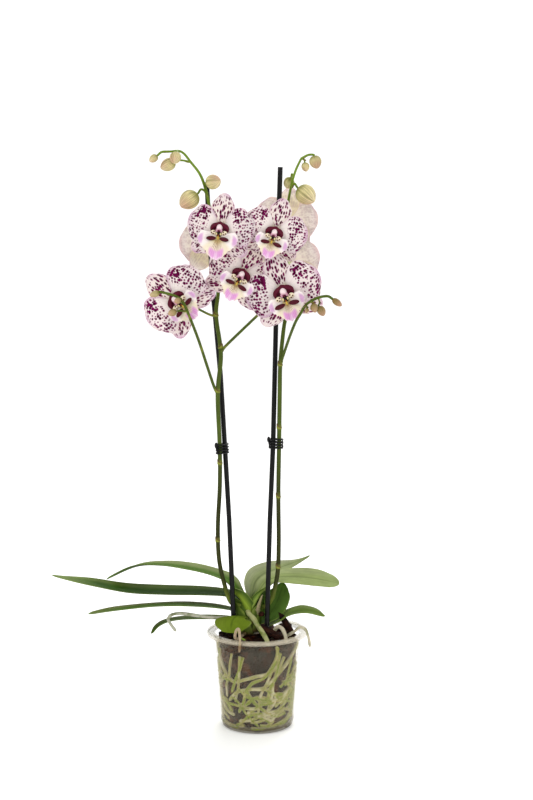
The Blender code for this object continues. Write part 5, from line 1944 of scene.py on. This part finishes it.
@dataclass
class Bloom(Part):
    """One open flower: three sepals behind two petals, column, hood, wings, callus and lip."""

    name: str
    centre: Point
    roll: float
    tilt: float
    yaw: float
    size: float
    lip_size: float
    finishes: dict[str, bpy.types.Material]
    seed: float = 0.0

    @property
    def turn(self) -> Matrix:
        """The bloom's rotation."""
        return bloom_turn(self.roll, self.tilt, self.yaw)

    def local(self, spot: Sequence[float]) -> Vector:
        """A place in the bloom's own axes, in metres of the world."""
        return Vector(self.centre) + self.turn @ (Vector(spot) * self.size)

    def own_ball(self, spot: Sequence[float], half: Sequence[float], colour: str) -> bpy.types.Object:
        """An ellipsoid of one tint in the bloom's own axes.

        Args:
            spot: its middle.
            half: its half sizes.
            colour: its tint.

        Returns:
            The object.
        """
        sizes = [part * self.size for part in half]
        item = ball("swelling", self.local(spot), sizes, self.turn)
        plain_paint(item, linear(colour))
        return item

    def mirrored(self, swellings: Sequence[Swelling], side: int) -> list[bpy.types.Object]:
        """The swellings of one side.

        Args:
            swellings: the right side's.
            side: -1 for the left one, 1 for the right one.

        Returns:
            The objects.
        """
        made = []
        for (across, back, up), half, colour in swellings:
            made.append(self.own_ball((across * side, back, up), half, colour))
        return made

    def tepals(self) -> list[Tepal]:
        """The ring's five blades."""
        sepal = (0.0385, 0.0265, SEPAL_OUTLINE, 0.0022, 0.0006, 4.6)
        petal = (0.037, 0.045, PETAL_OUTLINE, 0.0, 0.0009, 6.9)
        blades = []
        for number, angle in enumerate((0.0, LATERAL_ANGLE, -LATERAL_ANGLE)):
            blades.append(Tepal(TepalKind.SEPAL, angle, *sepal, self.seed + 1.3 * number))
        for number, angle in enumerate((PETAL_ANGLE, -PETAL_ANGLE)):
            blades.append(Tepal(TepalKind.PETAL, angle, *petal, self.seed + 5.1 + 1.7 * number))
        return blades

    def build_petals(self) -> None:
        """The five blades and the green seat behind them."""
        pieces = []
        for tepal in self.tepals():

            def place(u: float, v: float, tepal: Tepal = tepal) -> Vector:
                """A point of the blade."""
                return self.local(tepal.spot(u, v))

            pieces.append(sheet("tepal", place, tepal.paint, TEPAL_GRID, TEPAL_THICKNESS, 0.55))
        ring = joined(self.name + "_tepals", pieces)
        dress(ring, self.finishes["petal"], Slot.PETAL, [self.name + "_petals"], 60.0)
        seat = self.own_ball((0, 0.0016, 0), (0.0040, 0.0042, 0.0040), "#c9d39a")
        dress(joined(self.name + "_seat", [seat]), self.finishes["wax"], Slot.PETAL)

    def build_column(self) -> None:
        """The egg-shaped column with its white cap and the pink throat under it."""
        spot, half, colour = COLUMN_CAP
        cap = self.own_ball(spot, half, colour)
        middle = self.local(spot)
        for mark, vert in zip(cap.data.attributes[TINT].data, cap.data.vertices):
            below = (vert.co - middle).z / (half[2] * self.size)
            mark.color = layered(colour, ("#f0dcdc", rise(below, -0.9, 0.1)))
        pieces = [cap, *self.mirrored([COLUMN_TOOTH], -1), *self.mirrored([COLUMN_TOOTH], 1)]
        pieces.append(self.own_ball(*COLUMN_TIP))
        column = joined(self.name + "_column", pieces)
        dress(column, self.finishes["wax"], Slot.PETAL)

    def lip_spot(self, u: float, v: float) -> Vector:
        """A point of the lip, with a shallow gutter down its middle and a frilled edge."""
        angle = v * LIP_SWEEP
        reach = 0.001 * between(LIP_EDGE, abs(angle) / LIP_SWEEP)
        frill = 1 + 0.018 * rise(u, 0.6, 1.0) * math.sin(34 * angle + self.seed)
        out = 0.0022 + (reach * frill - 0.0022) * u
        height = 0.0060 + 0.0075 * math.sin(0.5 * math.pi * u) * (0.55 + 0.45 * math.cos(angle))
        height -= 0.0012 * math.exp(-((angle / 0.10) ** 2)) * math.sin(math.pi * u)
        height += 0.0006 * rise(u, 0.55, 1.0) * math.sin(17 * angle + 2 * self.seed)
        spot = Vector((out * math.sin(angle), -height, -0.0045 * (1 - u) - out * math.cos(angle)))
        return Vector(self.centre) + self.turn @ (spot * self.lip_size)

    def lip_paint(self, u: float, v: float, upper: bool) -> tuple[Colour, Point]:
        """Cream with a violet tip in the middle lobe, white with a lilac crescent on each side."""
        angle = abs(v) * math.degrees(LIP_SWEEP)
        throat = layered("#d2bf86", ("#e8dbc2", rise(u, 0.25, 0.5)))
        streak = 0.6 * (1 - rise(angle, 0, 7)) * rise(u, 0.6, 0.8)
        tip = layered(
            throat, ("#dc9ad0", rise(u, 0.55, 0.72)), ("#f2dcea", streak), ("#f0d8e6", rise(u, 0.90, 1.0))
        )
        bulge = ((angle - 60) / 16) ** 2 + ((u - 0.86 + 0.004 * (angle - 60)) / 0.17) ** 2
        lobe = layered("#f0e6e2", ("#cb92c6", 0.85 * (1 - rise(bulge, 0.1, 1.2))))
        side = layered(throat, (lobe, rise(angle, 30, 44)))
        narrow = 6 * rise(u, 0.75, 1.0)
        back = 0.6 if upper else 0.0
        colour = layered(tip, (side, rise(angle, 15 - narrow, 25 - narrow)), ("#ead8e4", back))
        veins = (1 - rise(angle, 14, 22)) * rise(u, 0.12, 0.25) * (1 - 0.85 * rise(u, 0.48, 0.66))
        spots = 0.35 * rise(angle, 40, 55) * (1 - rise(u, 0.5, 0.7)) * rise(u, 0.15, 0.3)
        shown = (0.25 if upper else 1.0) * max(veins, spots)
        return (*colour[:3], shown), (v * 17.0, u * 5.0, veins)

    def build_lip(self) -> None:
        """The fan of the lip."""
        name = self.name + "_fan"
        fan = sheet(name, self.lip_spot, self.lip_paint, LIP_GRID, TEPAL_THICKNESS, 0.6)
        dress(fan, self.finishes["lip"], Slot.LIP, [self.name + "_lip"], 60.0)

    def wing(self, side: int) -> bpy.types.Object:
        """One of the two dark lobes that stand out over the lip.

        Args:
            side: -1 for the left one, 1 for the right one.

        Returns:
            The lobe, which droops outwards and thins to its end.
        """
        droop = Matrix.Rotation(math.radians(5.0 * side), 3, "Y")
        outward = Matrix.Rotation(math.radians(-14.0 * side), 3, "Z")
        sizes = [part * self.size for part in (0.0056, 0.0016, 0.0025)]
        middle = self.local((0.0074 * side, -0.0134, -0.0112))
        lobe = ball("wing", middle, sizes, self.turn @ outward @ droop)
        plain_paint(lobe, linear("#4a0618"))
        return lobe

    def build_hood(self) -> None:
        """The dark arch over the column, the wings, the eyes and the yellow callus."""
        arc = []
        for step in range(-HOOD_STEPS, HOOD_STEPS + 1):
            angle = HOOD_SWEEP * step / HOOD_STEPS
            tall = 0.0064 + 0.0014 * math.exp(-((angle / 0.16) ** 2))
            back = -0.0056 - 0.0010 * math.cos(angle)
            spot = (HOOD_REACH * math.sin(angle), back, tall * math.cos(angle) - 0.0010)
            arc.append(self.local(spot))

        def thick(share: float) -> float:
            """The arch's radius, greatest at its shoulders."""
            turn = math.pi * share
            return self.size * (0.0010 + 0.0011 * math.sin(turn) + 0.0008 * math.sin(2 * turn) ** 2)

        hood = tube("hood", arc, thick, 5)
        plain_paint(hood, linear("#540622"))
        pieces = [hood] + [self.own_ball(*swelling) for swelling in HOOD_BACK]
        for side in (-1, 1):
            pieces += [self.wing(side), *self.mirrored(HOOD_SIDE, side)]
        pieces += [self.own_ball(*swelling) for swelling in CALLUS]
        dress(joined(self.name + "_hood", pieces), self.finishes["wax"], Slot.LIP)

    def build(self) -> None:
        """Makes the flower from its back to its front."""
        self.build_petals()
        self.build_column()
        self.build_hood()
        self.build_lip()


# Each bloom: its middle, its roll, tilt and yaw in degrees, its size and its lip's size
BLOOMS: dict[str, tuple[Point, float, float, float, float, float]] = {
    "bloom_left_top": ((-0.041, -0.044, 0.5905), 6, -2, -8, 1.00, 1.14),
    "bloom_right_top": ((0.020, -0.0425, 0.587), 17, 9, -3, 0.96, 0.94),
    "bloom_left_middle": ((-0.018, -0.0323, 0.538), 28, 0, 0, 1.03, 1.02),
    "bloom_front_low": ((0.031, -0.0418, 0.5195), -19, 6, -4, 1.14, 1.06),
    "bloom_left_low": ((-0.091, -0.040, 0.510), -53, 0, -4, 1.08, 1.00),
    "bloom_left_back": ((-0.054, 0.034, 0.575), 14, 2, 186, 0.98, 1.00),
    "bloom_right_back": ((0.035, 0.046, 0.601), -8, 0, 172, 0.96, 1.00),
    "bloom_right_back_low": ((0.036, 0.032, 0.550), 12, 0, 178, 1.00, 1.00),
}


# Buds and spikes

# Each bud: its middle, the way it heads, its length, its width and how far it has browned
BUDS: dict[str, tuple[Point, Point, float, float, float]] = {
    "bud_left_top_1": ((-0.1185, -0.0120, 0.6710), (-5, -1, -4), 0.0110, 0.0088, 0.15),
    "bud_left_top_2": ((-0.0930, -0.0205, 0.6715), (-1, -3, -4), 0.0145, 0.0132, 0.1),
    "bud_left_top_3": ((-0.1020, -0.0100, 0.6640), (-8, -1, -4), 0.0180, 0.0145, 0.1),
    "bud_left_top_4": ((-0.0500, -0.0120, 0.6445), (7, -5, 1), 0.0180, 0.0170, 0.0),
    "bud_left_top_5": ((-0.0780, -0.0100, 0.6240), (-8, -1, -6), 0.0240, 0.0215, 0.0),
    "bud_right_top_1": ((0.0675, -0.0025, 0.6675), (2, -1, -7), 0.0150, 0.0140, 0.1),
    "bud_right_top_2": ((0.0560, 0.0000, 0.6620), (1, -1, -6), 0.0105, 0.0092, 0.1),
    "bud_right_top_3": ((0.0370, 0.0120, 0.6440), (-2, 3, -5), 0.0140, 0.0125, 0.0),
    "bud_right_top_4": ((0.0565, -0.0040, 0.6300), (7, -2, -6), 0.0245, 0.0225, 0.0),
    "bud_left_low_1": ((-0.1140, -0.0720, 0.5185), (-6, 0, -2), 0.0115, 0.0072, 0.4),
    "bud_left_low_2": ((-0.0885, -0.0745, 0.5110), (-3, -3, -2), 0.0080, 0.0070, 0.7),
    "bud_left_low_3": ((-0.0945, -0.0700, 0.4975), (-6, -2, -2), 0.0100, 0.0080, 0.7),
    "bud_right_low_1": ((0.0900, -0.0700, 0.5090), (4, 0, -3), 0.0125, 0.0074, 0.9),
    "bud_right_low_2": ((0.0560, -0.0735, 0.5000), (-1, -1, -3), 0.0058, 0.0050, 0.8),
    "bud_right_low_3": ((0.0645, -0.0725, 0.5030), (1, -1, -4), 0.0104, 0.0086, 0.8),
    "bud_right_low_4": ((0.0725, -0.0705, 0.4995), (2, 0, -4), 0.0118, 0.0094, 0.8),
}


def bloom_seat(name: str) -> tuple[Vector, Vector]:
    """Where a flower stalk ends behind a bloom, and the way it points there."""
    centre, roll, tilt, yaw, size, _ = BLOOMS[name]
    back = bloom_turn(roll, tilt, yaw) @ Vector((0.0, 1.0, 0.0))
    return Vector(centre) + back * (0.0046 * size), back


def bud_seat(name: str) -> tuple[Vector, Vector]:
    """Where a bud's stalk ends, and the way the bud heads."""
    middle, heading, length, _, _ = BUDS[name]
    ahead = Vector(heading).normalized()
    return Vector(middle) - ahead * (length / 2 - 0.0003), ahead


@dataclass
class Buds(Part):
    """The sixteen buds."""

    sepals: int = 3

    def make(self, name: str, material: bpy.types.Material) -> None:
        """One egg-shaped bud with grooves where its sepals meet.

        Args:
            name: its CAD node.
            material: its finish.
        """
        middle, heading, length, width, brown = BUDS[name]
        deselect()
        bpy.ops.mesh.primitive_uv_sphere_add(segments=36, ring_count=24, radius=1.0)
        bud = bpy.context.active_object
        bud.name = name + "_skin"
        turn = Vector(heading).to_track_quat("Z", "Y").to_matrix()
        tints, patterns = [], []
        for vert in bud.data.vertices:
            x, y, z = vert.co
            angle = math.atan2(y, x) + length * 300
            seam = abs(math.sin(self.sepals * angle / 2))
            groove = 1 - 0.10 * (1 - rise(seam, 0.0, 0.22)) * (1 - z * z)
            taper = 1 - 0.10 * z
            point = 1 + 0.05 * rise(z, 0.85, 1.0)
            vert.co = (x * groove * taper, y * groove * taper, z * point)
            flush = 0.5 + 0.5 * math.sin(angle + 60 * width)
            aged = layered("#7d6438", ("#b08a6c", rise(z, -0.5, 0.9)))
            colour = layered(
                "#8b8c40", ("#d8cc96", rise(z, -1.0, -0.2)), ("#e2d2a6", rise(z, 0.0, 0.9)),
                ("#b98570", 0.65 * flush * rise(z, -0.5, 0.8)),
                ("#7f7c40", 0.7 * (1 - rise(seam, 0.0, 0.14))), (aged, brown),
            )
            tints.append(colour)
            patterns.append((0.0075 * angle, 0.5 * length * z, 0.0))
        shape = Matrix.Diagonal((width / 2, width / 2, length / 2, 1.0))
        bud.data.transform(Matrix.Translation(Vector(middle)) @ turn.to_4x4() @ shape)
        painted(bud, tints, patterns)
        dress(bud, material, Slot.BUD, [name], 60.0)

    def build(self) -> None:
        """Makes every bud."""
        skin = VeinedSkin("bud_skin", 0.7, 0.5, 0.5, mottle=0.12, subsurface=0.05).material()
        for name in BUDS:
            self.make(name, skin)


# A stalk: the points by which it leaves the stem, what it carries and its radius
Shoot = tuple[Sequence[Point], str, float]


@dataclass
class Spike(Part):
    """A flower spike: its stem with nodes and bracts, and the stalk of each bloom and bud."""

    name: str
    stem: Sequence[Point]
    shoots: Sequence[Shoot]
    nodes: Sequence[float]
    radius: float = 0.0026
    tip_radius: float = 0.0013
    shoot_swell: float = 1.2
    scale_clasp: float = 2.4
    scale_length: float = 0.0062
    bract_length: float = 0.0052
    bract_dry: float = 0.8
    # The colours that take over up the stem: each with the heights where it starts and rules alone
    stem_bands: Sequence[tuple[str, float, float]] = (
        ("#36391c", 0.15, 0.18), ("#4a5823", 0.26, 0.36), ("#5a6f22", 0.46, 0.60), ("#728c2e", 0.62, 0.66)
    )

    def colour_at(self, spot: Vector) -> Colour:
        """Olive at the foot, dark above it, then ever fresher green to the top, with paler nodes."""
        bands = [(colour, rise(spot.z, low, high)) for colour, low, high in self.stem_bands]
        nodes = [0.7 * (1 - rise(abs(spot.z - height), 0.0, 0.0035)) for height in self.nodes]
        return layered("#6a7630", *bands, *(("#868a38", near) for near in nodes))

    def coloured(self, item: bpy.types.Object) -> bpy.types.Object:
        """Paints a rod by its height.

        Args:
            item: the rod.

        Returns:
            The same rod.
        """
        spots = [vert.co.copy() for vert in item.data.vertices]
        painted(item, [self.colour_at(spot) for spot in spots], [(s.x, s.z, s.y) for s in spots])
        return item

    def sheath(self, spot: Vector, heading: Vector, radius: float, way: float) -> bpy.types.Object:
        """The dry scale that clasps the stem at a node, longest on one side.

        Args:
            spot: the middle of the stem there.
            heading: the way the stem grows.
            radius: the stem's radius.
            way: the side its point lies on, in degrees from the front.

        Returns:
            The scale.
        """
        ahead = heading.normalized()
        first = ahead.cross(Vector((1.0, 0.0, 0.0))).normalized()
        turn = Matrix.Rotation(math.radians(way), 3, ahead)
        front = turn @ (-first if first.y > 0 else first)
        side = front.cross(ahead)

        def place(u: float, v: float) -> Vector:
            """A point of the scale."""
            angle = v * self.scale_clasp
            reach = radius * (1.06 + 0.08 * u) + 0.0002
            out = front * (reach * math.cos(angle)) + side * (reach * math.sin(angle))
            tall = self.scale_length * (0.34 + 0.66 * math.exp(-((v / 0.33) ** 2)))
            return spot + out + ahead * (u * tall - 0.0022)

        def paint(u: float, v: float, upper: bool) -> tuple[Colour, Point]:
            """Green at its foot, with a brown rim."""
            return layered("#848a38", ("#5e4830", rise(u, 0.3, 0.8))), (v * 0.006, u * 0.006, 0.0)

        return sheet("node_scale", place, paint, (8, 20), 0.0004)

    def bract(self, spot: Vector, heading: Vector, size: float, brown: float) -> bpy.types.Object:
        """A small scale leaf that clasps the stem under a stalk.

        Args:
            spot: the middle of its foot.
            heading: the way its tip points.
            size: its length.
            brown: how far it has dried.

        Returns:
            The scale.
        """
        ahead = heading.normalized()
        away = ahead.cross(Vector((0.0, 0.0, 1.0)))
        side = away.normalized() if away.length > 0.05 else Vector((1.0, 0.0, 0.0))
        out = side.cross(ahead)
        wide = size * 0.42

        def place(u: float, v: float) -> Vector:
            """A point of the scale."""
            reach = wide * between((0.9, 1.0, 0.8, 0.45, 0.08), u)
            bow = out * (0.0016 * (1 - v * v) - 0.0006)
            return spot + ahead * (size * (u - 0.15)) + side * (v * reach) + bow

        def paint(u: float, v: float, upper: bool) -> tuple[Colour, Point]:
            """Green at its foot and dry at its tip."""
            colour = layered("#77863a", ("#6f5230", brown * rise(u, 0.1, 0.7)))
            return colour, (v * wide, u * size, 0.0)

        return sheet("bract", place, paint, (10, 8), 0.0005)

    def build(self) -> None:
        """Draws the stem, then each shoot with its bract."""
        path = smooth_path(self.stem, 8)

        def stem_radius(share: float) -> float:
            """Thins in its upper half and swells a little at each node."""
            place = path[round(share * (len(path) - 1))]
            plain = self.radius + (self.tip_radius - self.radius) * rise(share, 0.45, 1.0)
            swell = sum(math.exp(-(((place.z - height) / 0.0022) ** 2)) for height in self.nodes)
            return plain * (1 + 0.12 * swell)

        fine = []
        for start, end in zip(path, path[1:]):
            fine += [start, start.lerp(end, 0.5)]
        fine.append(path[-1])
        path = fine
        pieces = [self.coloured(tube("stem", path, stem_radius, 5))]
        for height in self.nodes:
            spot = at_height(path, height)
            growth = at_height(path, height + 0.004) - spot
            side = 40.0 if round(height * 1000) % 2 else -60.0
            pieces.append(self.sheath(spot, growth, self.radius, side))
        for points, target, radius in self.shoots:
            seat, heading = bloom_seat(target) if target in BLOOMS else bud_seat(target)
            back = heading * (0.006 if target in BLOOMS else -0.0015)
            way = smooth_path([*points, seat + back, seat], 6)
            wide = 1.25 if target in BLOOMS else 1.0

            def shoot_radius(share: float, radius: float = radius, wide: float = wide) -> float:
                """Thins evenly, and swells where it carries the flower."""
                thick = radius * self.shoot_swell * (1 - 0.2 * share)
                return thick * (1 + (wide - 1) * rise(share, 0.75, 1.0))

            pieces.append(self.coloured(tube("shoot", way, shoot_radius, 4)))
            foot = Vector(points[0])
            ahead = Vector(points[1]) - foot
            below = Vector((0.0, 0.0, -0.0006))
            spot = foot + ahead * 0.3 + below
            pieces.append(self.bract(spot, ahead, self.bract_length, self.bract_dry))
        skin = VeinedSkin(self.name + "_skin", 1.0, 0.12, 0.48, mottle=0.14, subsurface=0.05)
        dress(joined(self.name + "_stems", pieces), skin.material(), Slot.STEM, [self.name], 60.0)


LEFT_STEM: list[Point] = [
    (-0.0200, -0.0045, 0.1455), (-0.0280, -0.0060, 0.1475), (-0.0330, -0.0060, 0.1530),
    (-0.0380, -0.0050, 0.1680), (-0.0450, -0.0050, 0.2000), (-0.0465, -0.0050, 0.2400),
    (-0.0440, -0.0050, 0.2900), (-0.0440, -0.0055, 0.3380), (-0.0460, -0.0090, 0.4000),
    (-0.0420, -0.0100, 0.4460), (-0.0475, -0.0090, 0.4910), (-0.0450, -0.0080, 0.5250),
    (-0.0510, -0.0060, 0.5840), (-0.0560, -0.0045, 0.6220), (-0.0640, -0.0040, 0.6500),
    (-0.0760, -0.0050, 0.6670), (-0.0870, -0.0070, 0.6790), (-0.1010, -0.0090, 0.6790),
]
RIGHT_STEM: list[Point] = [
    (-0.0040, 0.0005, 0.1400), (0.0080, 0.0010, 0.1430), (0.0160, -0.0030, 0.1510),
    (0.0205, -0.0072, 0.1660), (0.0245, -0.0080, 0.1900), (0.0255, -0.0060, 0.2250),
    (0.0250, -0.0045, 0.2800), (0.0258, -0.0030, 0.3400), (0.0265, -0.0045, 0.4000),
    (0.0272, -0.0050, 0.4360), (0.0310, -0.0050, 0.4750), (0.0358, -0.0040, 0.5080),
    (0.0325, 0.0000, 0.5540), (0.0335, 0.0020, 0.6000), (0.0385, 0.0020, 0.6350),
    (0.0440, 0.0020, 0.6560), (0.0510, 0.0020, 0.6715),
]
LEFT_SHOOTS: list[Shoot] = [
    (
        [
            (-0.0460, -0.0085, 0.399), (-0.0505, -0.0115, 0.409), (-0.0580, -0.0220, 0.434),
            (-0.0665, -0.0450, 0.465), (-0.0760, -0.0615, 0.493), (-0.0830, -0.0675, 0.5095),
            (-0.0920, -0.0700, 0.5165),
        ],
        "bud_left_low_1", 0.0015,
    ),
    ([(-0.0828, -0.0672, 0.5090), (-0.0845, -0.0695, 0.5120)], "bud_left_low_2", 0.0009),
    ([(-0.0783, -0.0635, 0.4985), (-0.0840, -0.0675, 0.4995)], "bud_left_low_3", 0.0009),
    (
        [
            (-0.0420, -0.0100, 0.4480), (-0.0370, -0.0125, 0.4550), (-0.0200, -0.0210, 0.4720),
            (-0.0020, -0.0270, 0.4895), (0.0120, -0.0290, 0.5030), (0.0240, -0.0290, 0.5140),
        ],
        "bloom_front_low", 0.0015,
    ),
    (
        [(-0.0475, -0.0090, 0.4900), (-0.0560, -0.0120, 0.4925), (-0.0720, -0.0190, 0.5010)],
        "bloom_left_low", 0.0012,
    ),
    (
        [(-0.0450, -0.0080, 0.5220), (-0.0390, -0.0090, 0.5310), (-0.0280, -0.0160, 0.5400)],
        "bloom_left_middle", 0.0012,
    ),
    (
        [(-0.0480, -0.0070, 0.5600), (-0.0440, 0.0040, 0.5680), (-0.0450, 0.0160, 0.5760)],
        "bloom_left_back", 0.0012,
    ),
    (
        [(-0.0515, -0.0060, 0.5860), (-0.0500, -0.0150, 0.5930), (-0.0440, -0.0290, 0.5950)],
        "bloom_left_top", 0.0012,
    ),
    ([(-0.1010, -0.0090, 0.6790), (-0.1090, -0.0105, 0.6785)], "bud_left_top_1", 0.0012),
    ([(-0.0900, -0.0075, 0.6790), (-0.0915, -0.0130, 0.6790)], "bud_left_top_2", 0.0010),
    ([(-0.0760, -0.0050, 0.6670), (-0.0850, -0.0080, 0.6690)], "bud_left_top_3", 0.0010),
    ([(-0.0605, -0.0042, 0.6400), (-0.0590, -0.0060, 0.6430)], "bud_left_top_4", 0.0012),
    (
        [(-0.0570, -0.0045, 0.6270), (-0.0600, -0.0060, 0.6340), (-0.0645, -0.0080, 0.6360)],
        "bud_left_top_5", 0.0012,
    ),
]
RIGHT_SHOOTS: list[Shoot] = [
    (
        [
            (0.0272, -0.0050, 0.4340), (0.0300, -0.0090, 0.4430), (0.0345, -0.0240, 0.4580),
            (0.0390, -0.0440, 0.4730), (0.0440, -0.0610, 0.4870), (0.0490, -0.0680, 0.4960),
            (0.0560, -0.0700, 0.5070), (0.0680, -0.0700, 0.5140), (0.0790, -0.0700, 0.5160),
        ],
        "bud_right_low_1", 0.0015,
    ),
    ([(0.0535, -0.0695, 0.5035), (0.0550, -0.0730, 0.5050)], "bud_right_low_2", 0.0008),
    ([(0.0610, -0.0700, 0.5105), (0.0630, -0.0720, 0.5095)], "bud_right_low_3", 0.0009),
    ([(0.0690, -0.0700, 0.5140), (0.0705, -0.0700, 0.5090)], "bud_right_low_4", 0.0009),
    (
        [(0.0335, 0.0020, 0.6000), (0.0325, -0.0080, 0.6050), (0.0260, -0.0250, 0.5990)],
        "bloom_right_top", 0.0012,
    ),
    (
        [(0.0340, 0.0020, 0.6040), (0.0350, 0.0130, 0.6100), (0.0355, 0.0280, 0.6080)],
        "bloom_right_back", 0.0012,
    ),
    (
        [(0.0322, 0.0005, 0.5560), (0.0325, 0.0100, 0.5605), (0.0345, 0.0190, 0.5580)],
        "bloom_right_back_low", 0.0012,
    ),
    ([(0.0510, 0.0020, 0.6715), (0.0590, 0.0000, 0.6755)], "bud_right_top_1", 0.0012),
    ([(0.0520, 0.0020, 0.6718), (0.0545, 0.0010, 0.6705)], "bud_right_top_2", 0.0009),
    ([(0.0425, 0.0020, 0.6510), (0.0405, 0.0060, 0.6540)], "bud_right_top_3", 0.0010),
    ([(0.0395, 0.0020, 0.6380), (0.0430, 0.0000, 0.6430)], "bud_right_top_4", 0.0012),
]


# Studio


@dataclass
class Studio(Part):
    """The photograph's view: a white sweep, soft light from all round and a long lens."""

    eye: Point = (0.011, -1.8, 0.593)
    pitch: float = 6.40
    lens: float = 69.41
    floor_half: float = 3.0
    wall_height: float = 3.0
    bend: float = 1.2
    white: str = "#fbfbfa"
    paper_glow: float = 0.17
    sky_strength: float = 0.82
    # Each lamp: its name, where it hangs, what it faces, its side and its watts
    lamps: Sequence[tuple[str, Point, Point, float, float]] = (
        ("key", (-1.3, -1.5, 1.7), (0.0, 0.0, 0.4), 1.2, 12.0),
        ("fill", (1.5, -1.3, 1.0), (0.0, 0.0, 0.35), 1.4, 7.0),
        ("back", (0.3, 1.4, 1.5), (0.0, 0.0, 0.4), 1.2, 19.0),
    )

    def camera(self) -> None:
        """Puts the camera where the photograph was taken from."""
        lens = bpy.data.cameras.new("camera")
        lens.lens = self.lens
        lens.sensor_width = 36.0
        view = bpy.data.objects.new("camera", lens)
        bpy.context.scene.collection.objects.link(view)
        view.location = self.eye
        view.rotation_euler = (math.radians(90 - self.pitch), 0.0, 0.0)
        bpy.context.scene.camera = view

    def sweep(self) -> None:
        """The pale floor, bent up behind the plant."""
        deselect()
        bpy.ops.mesh.primitive_plane_add(size=2 * self.floor_half, location=(0, 0, 0))
        floor = bpy.context.active_object
        floor.name = "floor"
        bpy.ops.object.mode_set(mode="EDIT")
        bpy.ops.mesh.select_mode(type="EDGE")
        bpy.ops.mesh.select_all(action="DESELECT")
        work = bmesh.from_edit_mesh(floor.data)
        for edge in work.edges:
            edge.select_set(all(vert.co.y > self.floor_half * 0.9 for vert in edge.verts))
        bmesh.update_edit_mesh(floor.data)
        bpy.ops.mesh.extrude_region_move(TRANSFORM_OT_translate={"value": (0, 0, self.wall_height)})
        bpy.ops.object.mode_set(mode="OBJECT")
        bend = floor.modifiers.new("Bend", "BEVEL")
        bend.width = self.bend
        bend.segments = 12
        bend.limit_method = "ANGLE"
        applied(floor)
        material, tree, shader = fresh("white_paper_sweep")
        place = add(tree, "TexCoord").outputs["Object"]
        fibre = add(tree, "TexNoise", {"Vector": place, "Scale": 300.0, "Detail": 2.0})
        bump = add(tree, "Bump", {"Strength": 0.05, "Distance": 0.0005, "Height": fibre})
        feed(
            tree, shader,
            {
                "Normal": bump, "Base Color": linear(self.white), "Roughness": 0.9,
                "Emission Color": linear(self.white), "Emission Strength": self.paper_glow,
            },
        )
        floor.data.materials.append(material)
        take(floor)
        bpy.ops.object.shade_smooth_by_angle(angle=math.radians(30))

    def lamp(self, name: str, place: Point, aim: Point, size: float, power: float) -> None:
        """A square soft box.

        Args:
            name: its name.
            place: where it hangs.
            aim: what it faces.
            size: its side.
            power: its power in watts.
        """
        light = bpy.data.lights.new(name, "AREA")
        light.shape = "SQUARE"
        light.size = size
        light.energy = power
        item = bpy.data.objects.new(name, light)
        bpy.context.scene.collection.objects.link(item)
        item.location = place
        heading = Vector(aim) - Vector(place)
        item.rotation_euler = heading.to_track_quat("-Z", "Y").to_euler()

    def build(self) -> None:
        """Sets camera, floor, sky and lamps."""
        self.camera()
        self.sweep()
        for lamp in self.lamps:
            self.lamp(*lamp)
        world = bpy.data.worlds.new("white_room")
        world.use_nodes = True
        sky = world.node_tree.nodes["Background"]
        sky.inputs["Color"].default_value = linear("#ffffff")
        sky.inputs["Strength"].default_value = self.sky_strength
        bpy.context.scene.world = world
        bpy.context.scene.view_settings.view_transform = "Standard"


def build_all(parts: Sequence[Part]) -> None:
    """Builds the parts in order and says so."""
    for part in parts:
        part.build()
        log.info("%s built", type(part).__name__)


def main() -> None:
    """Builds the studio and the plant from its pot to its flowers."""
    logging.basicConfig(level=logging.INFO, format="%(message)s")
    finishes = {
        "petal": SpottedPetal().material(), "wax": GlossyTissue("flower_wax").material(),
        "lip": VeinedLip().material(),
    }
    blooms = []
    for number, (name, sizes) in enumerate(BLOOMS.items()):
        blooms.append(Bloom(name, *sizes, finishes, BLOOM_SEED_STEP * number))
    build_all(
        [
            Studio(), ClearPot(), BarkFill(), RootNet(), AerialRoots(), Crown(), Foliage(), Sticks(),
            Clip("clip_left", "stick_left", LEFT_STEM, 0.334),
            Clip("clip_right", "stick_right", RIGHT_STEM, 0.340),
            Spike("spike_left", LEFT_STEM, LEFT_SHOOTS, (0.2256, 0.318, 0.4035, 0.455, 0.492)),
            Spike("spike_right", RIGHT_STEM, RIGHT_SHOOTS, (0.194, 0.278, 0.360, 0.434)), *blooms, Buds(),
        ]
    )
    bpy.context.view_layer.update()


if __name__ == "__main__":
    main()
